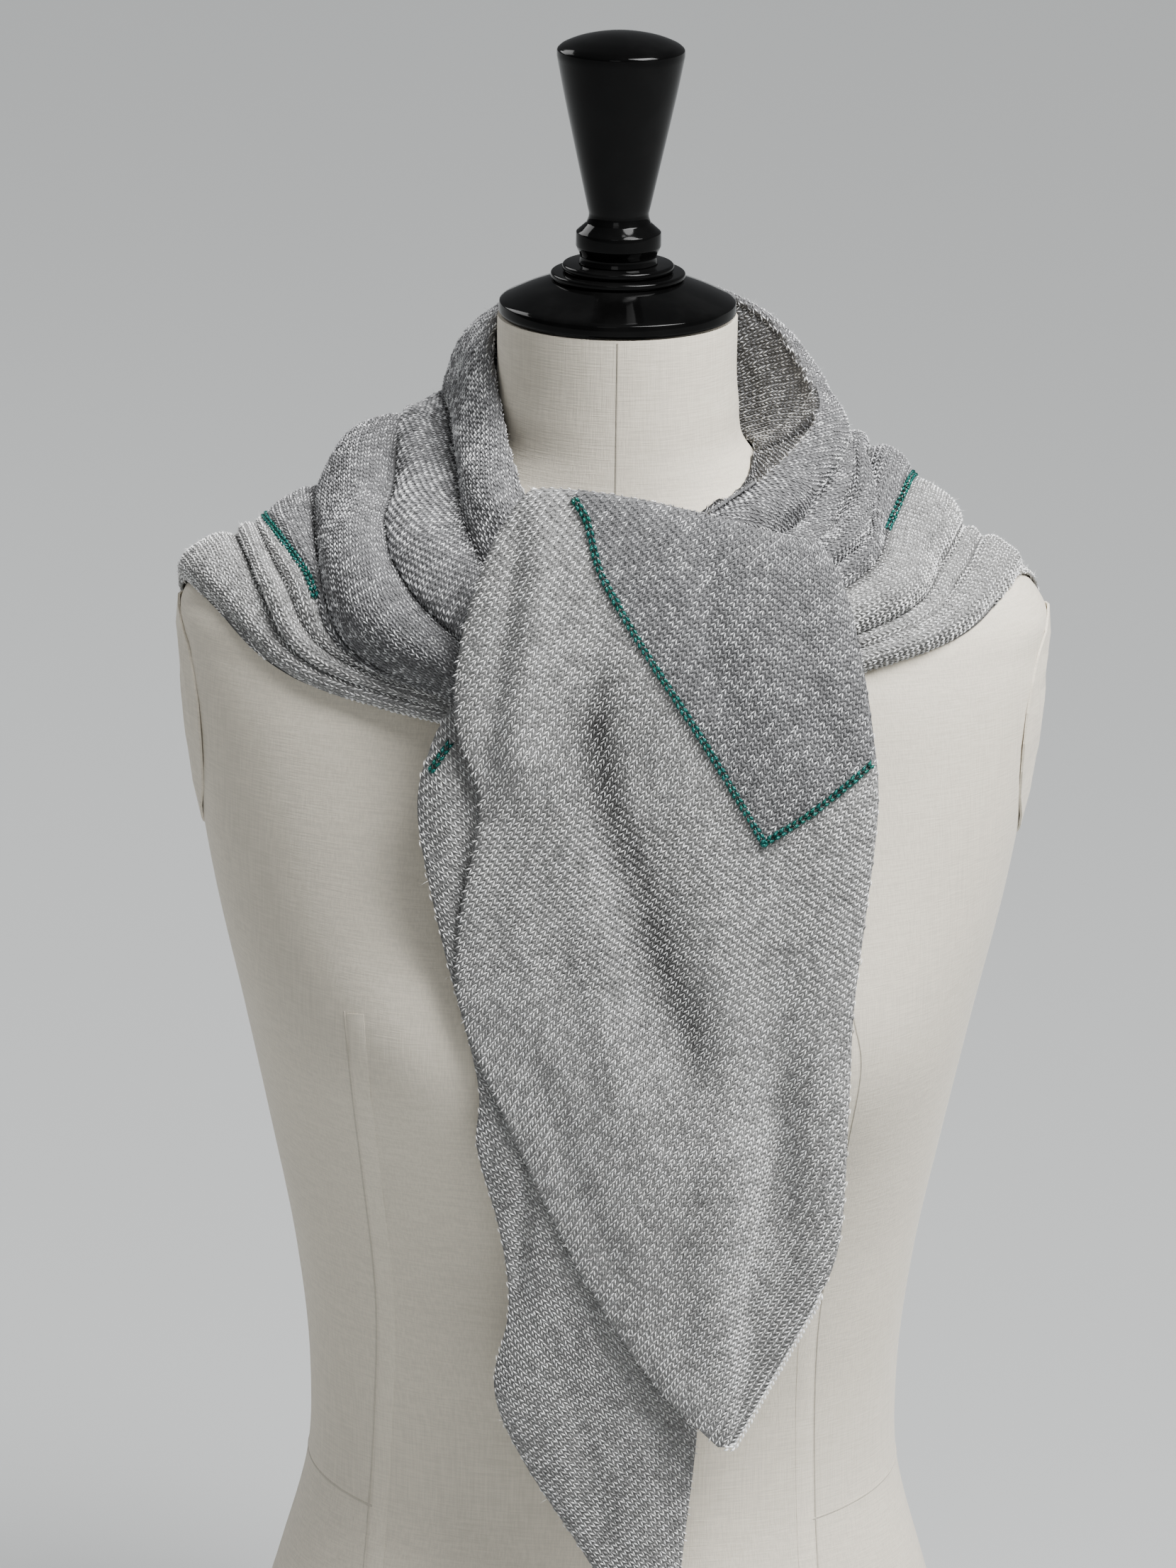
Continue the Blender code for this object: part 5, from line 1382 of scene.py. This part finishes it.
# ------------------------------------------------------------------ small repeated shapes
def spindle_points(start, end, radius, sides, bulge):
    """Points and faces of a thread's leg: pointed at both ends, thickest and raised in its middle."""
    start, end = np.array(start), np.array(end)
    way = unit(end - start)
    aside = unit(np.cross(way, (0.0, 0.0, 1.0)))
    up = np.cross(aside, way)
    middle = (start + end) / 2.0 + np.array([0.0, 0.0, bulge])
    turns = [2.0 * math.pi * side / sides + 0.5 * math.pi for side in range(sides)]
    ring = [middle + radius * (aside * math.cos(turn) + up * math.sin(turn)) for turn in turns]
    faces = []
    for side in range(sides):
        following = (side + 1) % sides
        faces += [(0, 1 + following, 1 + side), (sides + 1, 1 + side, 1 + following)]
    return [start, *ring, end], faces


def leg_mesh(name, legs):
    """One mesh from several legs, in metres."""
    points, faces = [], []
    for leg_points, leg_faces in legs:
        offset = len(points)
        points += leg_points
        faces += [tuple(offset + index for index in face) for face in leg_faces]
    mesh = mesh_from(name, np.array(points) / CM, faces)
    face_outwards(mesh)
    return mesh


def stitch_source(settings, openness):
    """One stitch: two legs that rise from the course below and spread to the course above."""
    height = settings.course_height
    width = settings.wale_width
    legs = [spindle_points((side * 0.04 * width, -0.62 * height, -0.0001),
                           (side * 0.47 * width, 0.66 * height, 0.0), openness * width, 3, 0.00042)
            for side in (-1.0, 1.0)]
    return in_scene("stitch_source", leg_mesh("stitch_source", legs))


def link_source(name, length, width, radius):
    """One chain stitch: two plump legs that close into the link before."""
    legs = [spindle_points((side * 0.06 * width, -0.70 * length, 0.0001),
                           (side * 0.36 * width, 0.62 * length, 0.0004), radius, 6, 0.0008)
            for side in (-1.0, 1.0)]
    return in_scene(name, leg_mesh(name, legs))


def fibre_source():
    """One loose fibre: a bent sliver, finer than a thread."""
    points = [(-0.000035, 0.0, -0.0004), (0.000035, 0.0, -0.0004), (-0.00003, 0.0006, 0.0014),
              (0.00003, 0.0006, 0.0014), (0.0, 0.0019, 0.0026)]
    faces = [(0, 1, 3, 2), (2, 3, 4)]
    return in_scene("fibre_source", mesh_from("fibre_source", np.array(points) / CM, faces))


def line_object(points, facings):
    """A line of points that keeps the outward direction at each of them."""
    mesh = bpy.data.meshes.new("line")
    mesh.from_pydata((np.asarray(points) * CM).tolist(), [(i, i + 1) for i in range(len(points) - 1)], [])
    made = mesh.attributes.new("facing", "FLOAT_VECTOR", "POINT")
    made.data.foreach_set("vector", np.asarray(facings, dtype=np.float32).ravel())
    return link_mesh("line", mesh, None)


def ribbon(name, points, facings, strip, material):
    """A low strip laid along a line on a surface, crowned across its width."""
    across = unit(np.cross(np.gradient(points, axis=0), facings))
    rows = np.stack([points + across * strip.width * share
                     for share in (-0.5, -0.25, 0.0, 0.25, 0.5)], axis=1)
    crown = np.array([0.0, 0.8, 1.0, 0.8, 0.0])[None, :, None]
    low = rows + facings[:, None] * strip.sink
    high = low + facings[:, None] * strip.thickness * (0.35 + 0.65 * crown)
    count = rows.shape[1]
    total = len(points) * count
    faces = []
    for row in range(len(points) - 1):
        for column in range(count - 1):
            corner = row * count + column
            quad = (corner, corner + count, corner + count + 1, corner + 1)
            faces += [quad, tuple(total + index for index in reversed(quad))]
    rim = rim_of(len(points), count)
    faces += [(start, end, total + end, total + start) for start, end in zip(rim, rim[1:] + rim[:1])]
    mesh = mesh_from(name, np.concatenate((high.reshape(-1, 3), low.reshape(-1, 3))), faces, 60.0)
    face_outwards(mesh)
    return link_mesh(name, mesh, material)


# ------------------------------------------------------------------ what the operators share
workshop = {}                 # materials, cloths and sources that later operators need


def knit_settings():
    """The knit's settings in the scene."""
    return bpy.context.scene.scarf_knit


def flat_curve(table, count):
    """A smooth curve through places given as how far out and how high."""
    return smooth_rows([(out, 0.0, height) for out, height in table], count)


def seams_on_torso(tree):
    """Lines of the linen cover's seams: name, points and outward directions."""
    heights = np.linspace(NECK_TOP - 0.1, CENTRE_SEAM_FOOT, CENTRE_SEAM_POINTS)
    lines = [("seam_centre_" + name, drop_on(tree, np.zeros(len(heights)), heights, way))
             for name, way in (("front", -1.0), ("back", 1.0))]
    for name, table in (("left", LEFT_PRINCESS), ("right", RIGHT_PRINCESS)):
        curve = flat_curve(table, PRINCESS_SEAM_POINTS)
        lines.append(("seam_front_" + name, drop_on(tree, curve[:, 0], curve[:, 2], -1.0)))
        lines.append(("seam_back_" + name, drop_on(
            tree, curve[:, 0] * BACK_PRINCESS_SHARE, curve[:, 2] + BACK_PRINCESS_RISE, 1.0)))
    return lines


def waist_seam(tree):
    """The waist seam's points and outward directions, round from one princess seam to the other."""
    ring = np.array([
        torso_point(section_at(WAIST_HEIGHT + WAIST_DIP * max(0.0, -math.sin(angle)) ** 2), angle)
        for angle in even_angles(TORSO_COLUMNS)])
    in_front = (ring[:, 1] < 0.0) & (ring[:, 0] > WAIST_ENDS[0]) & (ring[:, 0] < WAIST_ENDS[1])
    first = np.flatnonzero(in_front)[-1] + 1
    ring = np.roll(ring, -first, axis=0)[:np.count_nonzero(~in_front)]
    return met([tree.find_nearest(Vector(point)) for point in ring])


def drop_on(tree, outs, heights, way):
    """Points on a surface before (way -1) or behind (way 1) the given places, with its normals."""
    return met([cast(tree, out, height, way) for out, height in zip(outs, heights)])


class SCARF_OT_dress_form(bpy.types.Operator):
    """Build the smooth linen torso with its seams, the turned cap and knob, and the board's finish"""
    bl_idname = "scarf.dress_form"
    bl_label = "Dress form"

    def execute(self, context):
        """Replace the torso and turned pieces, and finish the plates and the board."""
        settings = context.scene.scarf_form
        linen = linen_material("unbleached_linen", settings)
        tape = linen_material("linen_seam_tape", settings, 1.07)
        # Seam lines: darker linen for the stitching and for painted shadow along the seam.
        thread = linen_material("linen_seam_shadow", settings, 0.55)
        faint = linen_material("linen_seam_line", settings, 0.76)
        lacquer = lacquer_material(settings)
        torso = settle(build_torso(linen), "linen", "form_torso")
        tree = surface_tree([torso])
        workshop["torso"] = tree
        for name, (points, facings) in seams_on_torso(tree):
            settle(ribbon(name, points, facings, SEAM_STRIP, thread if "centre" in name else faint), "linen")
            if "front_" in name:
                inward = math.copysign(TAPE_OFFSET, -points[0, 0])
                beside = drop_on(tree, points[:, 0] + inward, points[:, 2], -1.0)
                settle(ribbon(name + "_tape", *beside, TAPE_STRIP, tape), "linen")
        settle(ribbon("seam_waist", *waist_seam(tree), WAIST_STRIP, faint), "linen")
        for name, turns, node in (("lacquered_knob", KNOB, "form_knob"),
                                  ("lacquered_upper_ring", UPPER_RING, "form_upper_ring"),
                                  ("lacquered_lower_ring", LOWER_RING, "form_lower_ring"),
                                  ("lacquered_cap", CAP, "form_neck_cap")):
            settle(build_turned(name, turns, settings.turned_steps, lacquer), "lacquer", node)
        for node, material in (("form_armhole_plate_left", linen), ("form_armhole_plate_right", linen),
                               ("form_base_board", board_material(settings))):
            node_object = frame["nodes"][node]
            node_object.data.materials.clear()
            node_object.data.materials.append(material)
        return {"FINISHED"}


class SCARF_OT_worn_cloth(bpy.types.Operator):
    """Build the cloth round the neck, over the shoulders and down the back"""
    bl_idname = "scarf.worn_cloth"
    bl_label = "Worn cloth"

    def execute(self, context):
        """Make the one sheet of the wraps, collar and back, the collar's inner layer and the tie."""
        settings = knit_settings()
        ground = knit_ground_material("grey_knit_ground_painted_shade", settings)
        workshop["ground"] = ground
        workshop["thread"] = knit_thread_material("marl_thread", settings)
        torso = workshop["torso"]
        behind_left = (LEFT_FOLD_BEHIND, *BACK_CREASES[1:])
        left = rolled_grid(LEFT_CREASES, LEFT_ROLLS, LEFT_SLITS, behind_left, -1.0, torso)
        right = rolled_grid(RIGHT_CREASES, RIGHT_ROLLS, RIGHT_SLITS, BACK_CREASES, 1.0, torso)
        middle = (left[:1] + right[:1]) / 2.0
        whole = np.concatenate((left[:0:-1], middle, right[1:]))
        middle_row = len(left) - 1
        even_out(whole[middle_row - 3:middle_row + 4], 3)
        bands = []
        for rows, rolls in (((0, middle_row), LEFT_ROLLS), ((middle_row, len(whole) - 1), RIGHT_ROLLS)):
            column = 0
            for roll in rolls:
                turned = FOLD_TURN * (roll is rolls[0]) + HEM_TURN * (roll is rolls[-1])
                end = column + roll.strips + turned
                bands.append(Band(rows, (column, end), roll.wales))
                column = end
        seam = FOLD_TURN + sum(roll.strips for roll in LEFT_ROLLS[:BORDER_SEAM])
        across = lengths_along(whole, 1) * CM
        cloth = Cloth(whole, bands, across - across[:, seam:seam + 1])
        if cloth.normals[middle_row, -8][1] < 0.0:
            cloth.turn_over()
        # Painted shade in the troughs between the rolls.
        cloth.shade = hollow_shade(cloth.grid, cloth.normals)
        sheet = settle(cloth.wall("scarf_wrapped_cloth", ground), "centre_knit",
                       "scarf_wrap_left", "scarf_collar", "scarf_back_panel", "scarf_wrap_right")
        workshop.update(wrapped=cloth, wrapped_sheet=sheet, seam=seam, middle_row=middle_row)
        self.build_inner(inner_collar_grid(whole, middle_row, torso), ground)
        self.build_tie(whole, ground)
        return {"FINISHED"}

    def build_inner(self, grid, ground):
        """The collar's inner layer, with painted shade that deepens towards the foot of the neck."""
        shade = np.tile(np.linspace(*INNER_SHADE, INNER_STRIPS + 1), (len(grid), 1))
        inner = Cloth(grid, [Band((0, len(grid) - 1), (0, INNER_STRIPS), INNER_WALES)],
                      np.full(grid.shape[:2], IN_CENTRE), shade)
        if inner.normals[BACK_STEPS + INNER_LEFT_STEPS, INNER_STRIPS // 2][1] > 0.0:
            inner.turn_over()
        sheet = settle(inner.wall("scarf_inner_cloth", ground), "centre_knit", "scarf_inner_collar")
        workshop.update(inner=inner, inner_sheet=sheet)

    def build_tie(self, whole, ground):
        """The bunched cloth of the half knot."""
        columns = list(range(0, whole.shape[1] - HEM_TURN, 4))
        rings = tie_rings(whole, columns)
        count = rings.shape[1]
        mesh = mesh_from("scarf_half_knot", rings.reshape(-1, 3), tube_faces(len(rings), count), 60.0)
        face_outwards(mesh)
        corners = np.array([loop.vertex_index for loop in mesh.loops])
        write_places(mesh, np.stack((corners // count, corners % count), axis=1) * TIE_CELL)
        write_values(mesh, border=IN_CENTRE, shade=0.0)
        knot = link_mesh("scarf_half_knot", mesh, ground)
        workshop["knot"] = settle(knot, "centre_knit", "scarf_tie")


class SCARF_OT_hanging_ends(bpy.types.Operator):
    """Build the two ends that fall in front, with their folds"""
    bl_idname = "scarf.hanging_ends"
    bl_label = "Hanging ends"

    def execute(self, context):
        """Hang the under end on what is behind it, and the front end on both."""
        behind = [workshop["wrapped_sheet"], workshop["knot"]]
        torso = [thing for thing in bpy.context.scene.objects if thing.name == "linen_torso"]
        for name, table, folds, node, border in (
                ("scarf_under_end", UNDER_TAIL, UNDER_FOLDS, "scarf_under_tail", under_border),
                ("scarf_front_end", FRONT_TAIL, FRONT_FOLDS, "scarf_front_tail", front_border)):
            grid = tail_grid(table, folds)
            self.seat(grid, surface_tree(torso + behind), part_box(node)[0][1] / CM)
            cloth = Cloth(grid, [Band((0, TAIL_ROWS - 1), (0, TAIL_COLUMNS - 1), TAIL_WALES[node])],
                          border(grid), streak_shade(grid) if node == "scarf_front_tail" else None)
            if cloth.normals[TAIL_ROWS // 2, TAIL_COLUMNS // 2][1] > 0.0:
                cloth.turn_over()
            sheet = settle(cloth.wall(name, workshop["ground"]), "border_knit", node)
            workshop.update({name: cloth, name + "_sheet": sheet})
            behind.append(sheet)
        return {"FINISHED"}

    def seat(self, grid, tree, front):
        """Bring a grid to the depth of its solid and push it clear of what is behind."""
        grid[..., 1] += front + CLOTH / 2.0 - grid[..., 1].min()
        push_out(grid, tree, CLOTH / 2.0 + CLEARANCE, -1.0)
        even_out(grid, 6)
        push_out(grid, tree, CLOTH / 2.0 + CLEARANCE, -1.0)


def front_border(grid):
    """Distance outside the teal corner of the front end, in metres: negative towards the centre."""
    line = flat_curve(FRONT_LINE, 60)
    out, height = grid[..., 0], grid[..., 2]
    line_out = np.interp(-height, -line[:, 2], line[:, 0])
    turn = np.array(FRONT_LINE_RETURN)
    line_height = np.interp(out, turn[:, 0], turn[:, 1])
    return np.maximum((line_out - out) * LINE_SLOPE, (line_height - height) * RETURN_SLOPE) * CM


def under_border(grid):
    """The under end is border all over but for its covered top corner."""
    below = grid[..., 2] < UNDER_LINE[0][1]
    return (UNDER_LINE[0][0] - grid[..., 0] + below * 20.0 + 10.0) * CM


def streak_shade(grid):
    """How far the tie, grey and in shade, shows through the front end: its own grey and painted shade."""
    rows = np.array(STREAK)
    height = -grid[..., 2]
    middle, width, strength = (np.interp(height, -rows[:, 1], rows[:, column]) for column in (0, 2, 3))
    return strength * np.exp(-((grid[..., 0] - middle) / width) ** 2)


class SCARF_OT_stitches(bpy.types.Operator):
    """Set every stitch of the knit on the cloth"""
    bl_idname = "scarf.stitches"
    bl_label = "Stitches"

    def execute(self, context):
        """Grow the stitches of each stretch from its right side."""
        settings = knit_settings()
        group = stitch_group()
        source = stitch_source(settings, THREAD_SHARE)
        for key, name, slot, rows, columns in STITCHED:
            ground = workshop[key].surface(name + "_ground", rows, columns)
            layer = ground.data.uv_layers[UV_NAME].data
            reach = np.zeros(len(layer) * 2, dtype=np.float32)
            layer.foreach_get("uv", reach)
            far = reach.reshape(-1, 2).max(axis=0)
            made = grow(ground, group, {
                "Stitch": source, "Course height": settings.course_height, "Wale width": settings.wale_width,
                "Courses": int(far[0] / settings.course_height) + 2,
                "Wales": int(far[1] / settings.wale_width) + 2, "Unevenness": STITCH_UNEVENNESS,
                "Seed": settings.seed}, name, workshop["thread"])
            workshop[name] = settle(made, slot)
        bpy.data.objects.remove(source, do_unlink=True)
        return {"FINISHED"}


class SCARF_OT_teal_line(bpy.types.Operator):
    """Work the metallic chain stitch between centre and border"""
    bl_idname = "scarf.teal_line"
    bl_label = "Teal line"

    def execute(self, context):
        """Chain the line along both shoulders, the back and the ends."""
        settings = knit_settings()
        teal = teal_material(settings)
        group = chain_group()
        link = link_source("teal_link", settings.link_spacing, *TEAL_LINK)
        wrapped = workshop["wrapped"]
        seam = workshop["seam"]
        middle = workshop["middle_row"]
        outer = wrapped.right_side(WRAP_LINE_LIFT)
        shoulder_left, shoulder_right = middle - BACK_STEPS, middle + BACK_STEPS
        for name, node, rows in (
                ("teal_wrap_left", "trim_wrap_left", slice(shoulder_left - TEAL_ROWS[0], shoulder_left + 1)),
                ("teal_back", "trim_back", slice(shoulder_left, shoulder_right + 1)),
                ("teal_wrap_right", "trim_wrap_right", slice(shoulder_right, shoulder_right + TEAL_ROWS[1]))):
            self.chain(name, node, outer[rows, seam], wrapped.normals[rows, seam], group, link, teal)
        front = surface_tree([workshop["scarf_front_end_sheet"]])
        under = surface_tree([workshop["scarf_under_end_sheet"]])
        for name, node, table, count, tree in (
                ("teal_front_long", "trim_front_long", FRONT_LINE, 60, front),
                ("teal_front_short", "trim_front_short", FRONT_LINE_RETURN, 20, front),
                ("teal_under_end", "trim_under_tail", UNDER_LINE, 6, under)):
            curve = flat_curve(table, count)
            inside = [index for index, (out, _, height) in enumerate(curve)
                      if cast(tree, out, height, -1.0)[0]]
            points, facings = drop_on(tree, curve[inside, 0], curve[inside, 2], -1.0)
            self.chain(name, node, points - (0.0, LINE_LIFT, 0.0), facings, group, link, teal)
        bpy.data.objects.remove(link, do_unlink=True)
        return {"FINISHED"}

    def chain(self, name, node, points, facings, group, link, teal):
        """One run of chain stitches in place of its solid."""
        values = {"Link": link, "Spacing": knit_settings().link_spacing}
        made = grow(line_object(points, facings), group, values, name, teal)
        workshop[name] = settle(made, "teal_line", node)


class SCARF_OT_hem(bpy.types.Operator):
    """Work the cast-off edge round the square"""
    bl_idname = "scarf.hem"
    bl_label = "Cast-off edge"

    def execute(self, context):
        """Chain loops of thread along every outer edge that shows."""
        settings = knit_settings()
        group = chain_group()
        loop = link_source("hem_loop", settings.course_height, *HEM_LOOP)
        for key, name in (("scarf_under_end", "hem_under_end"), ("scarf_front_end", "hem_front_end")):
            cloth = workshop[key]
            outer = cloth.right_side()
            start = int(np.argmax(outer[:, -1, 2] < HEM_TOP[key]))
            points, facings = (np.concatenate((grid[start:, -1], grid[-1, -2:TAIL_COLUMNS // 2:-1]))
                               for grid in (outer, cloth.normals))
            values = {"Link": loop, "Spacing": settings.course_height}
            made = grow(line_object(points, facings), group, values, name, workshop["thread"])
            write_values(made.data, border=ON_BORDER, shade=0.0, tint=HEM_TINT)
            workshop[name] = settle(made, "border_knit")
        bpy.data.objects.remove(loop, do_unlink=True)
        return {"FINISHED"}


class SCARF_OT_halo(bpy.types.Operator):
    """Raise the loose fibres of the fine wool"""
    bl_idname = "scarf.halo"
    bl_label = "Halo"

    def execute(self, context):
        """Scatter fibres over the right side of the cloth."""
        settings = knit_settings()
        group = halo_group()
        fibre = fibre_source()
        for key, name, slot in (("wrapped", "halo_wrapped", "centre_knit"),
                                ("scarf_under_end", "halo_under_end", "border_knit"),
                                ("scarf_front_end", "halo_front_end", "border_knit")):
            values = {"Fibre": fibre, "Density": settings.fibre_density, "Seed": settings.seed + 3}
            made = grow(workshop[key].surface(name + "_ground"), group, values, name, workshop["thread"])
            write_values(made.data, border=ON_BORDER, shade=0.0, tint=HALO_TINT)
            workshop[name] = settle(made, slot)
        bpy.data.objects.remove(fibre, do_unlink=True)
        return {"FINISHED"}


class SCARF_OT_declare_sheets(bpy.types.Operator):
    """A step that does nothing"""
    bl_idname = "scarf.declare_sheets"
    bl_label = "Declare sheets"

    def execute(self, context):
        """Finish at once, doing nothing."""

        return {"FINISHED"}


class SCARF_OT_stage(bpy.types.Operator):
    """Set the floor, the soft lights and the camera"""
    bl_idname = "scarf.stage"
    bl_label = "Stage"

    def execute(self, context):
        """Make the floor, the lights, the world and the camera."""
        settings = context.scene.scarf_stage
        self.add_floor(settings)
        for name, place, size, power in LIGHTS:
            aim = Vector(LIT_POINT) - Vector(place)
            self.add_light(name, "AREA", aim, energy=power, shape="SQUARE", size=size).location = place
        self.add_light("key_light", "SUN", -Vector(KEY_FROM), energy=KEY_STRENGTH, angle=KEY_SOFTNESS)
        world = bpy.data.worlds.new("studio")
        world.use_nodes = True
        background = world.node_tree.nodes["Background"]
        background.inputs["Color"].default_value = WORLD_COLOUR
        background.inputs["Strength"].default_value = WORLD_STRENGTH
        context.scene.world = world
        self.add_camera(context, settings)
        return {"FINISHED"}

    def add_floor(self, settings):
        """A plain pale floor."""
        half = settings.floor_size / CM / 2.0
        corners = [(-half, -half, -0.02), (half, -half, -0.02), (half, half, -0.02), (-half, half, -0.02)]
        made, _, shader = new_material("pale_floor", 0.9)
        shader.inputs["Base Color"].default_value = colour4(settings.floor_colour)
        floor = link_mesh("studio_floor", mesh_from("studio_floor", corners, [(0, 1, 2, 3)]), made)

    def add_light(self, name, kind, aim, **settings):
        """A light that faces along aim."""
        thing = in_scene(name, with_settings(bpy.data.lights.new(name, kind), **settings))
        thing.rotation_euler = aim.to_track_quat("-Z", "Y").to_euler()
        return thing

    def add_camera(self, context, settings):
        """A long lens that looks slightly down at the front."""
        camera = with_settings(bpy.data.cameras.new("studio_camera"), sensor_width=36.0,
                               sensor_fit="AUTO", lens=settings.focal_length)
        thing = in_scene("studio_camera", camera)
        tilt = Euler((math.pi / 2.0 - settings.camera_pitch, 0.0, 0.0)).to_matrix()
        tilt = tilt @ Matrix.Rotation(settings.camera_roll, 3, "Z")
        thing.matrix_world = (Matrix.Translation(settings.look_at) @ tilt.to_4x4()
                              @ Matrix.Translation((0.0, 0.0, settings.camera_distance)))
        context.scene.camera = thing


class SCARF_PT_panel(bpy.types.Panel):
    """Lists the steps and their sizes in the sidebar."""
    bl_idname = "SCARF_PT_panel"
    bl_label = "Knitted Square Scarf"
    bl_space_type = "VIEW_3D"
    bl_region_type = "UI"
    bl_category = "Scarf"

    def draw(self, context):
        """Draw each step's button, then the settings."""
        layout = self.layout
        for step in STEPS:
            layout.operator(step.bl_idname)
        for group in (context.scene.scarf_form, context.scene.scarf_knit, context.scene.scarf_stage):
            box = layout.box()
            for name in group.__annotations__:
                box.prop(group, name)


STEPS = (SCARF_OT_dress_form, SCARF_OT_worn_cloth, SCARF_OT_hanging_ends, SCARF_OT_stitches,
         SCARF_OT_teal_line, SCARF_OT_hem, SCARF_OT_halo, SCARF_OT_declare_sheets, SCARF_OT_stage)
CLASSES = (KnitSettings, FormSettings, StageSettings, *STEPS, SCARF_PT_panel)


def register():
    """Register the classes and hang their settings on the scene."""
    for made in CLASSES:
        bpy.utils.register_class(made)
    bpy.types.Scene.scarf_knit = PointerProperty(type=KnitSettings)
    bpy.types.Scene.scarf_form = PointerProperty(type=FormSettings)
    bpy.types.Scene.scarf_stage = PointerProperty(type=StageSettings)


def unregister():
    """Take the settings and classes away again."""
    for name in ("scarf_knit", "scarf_form", "scarf_stage"):
        delattr(bpy.types.Scene, name)
    for made in reversed(CLASSES):
        bpy.utils.unregister_class(made)


def main():
    """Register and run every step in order."""
    register()
    for step in STEPS:
        group, name = step.bl_idname.split(".")
        getattr(getattr(bpy.ops, group), name)()


if __name__ == "__main__":
    main()
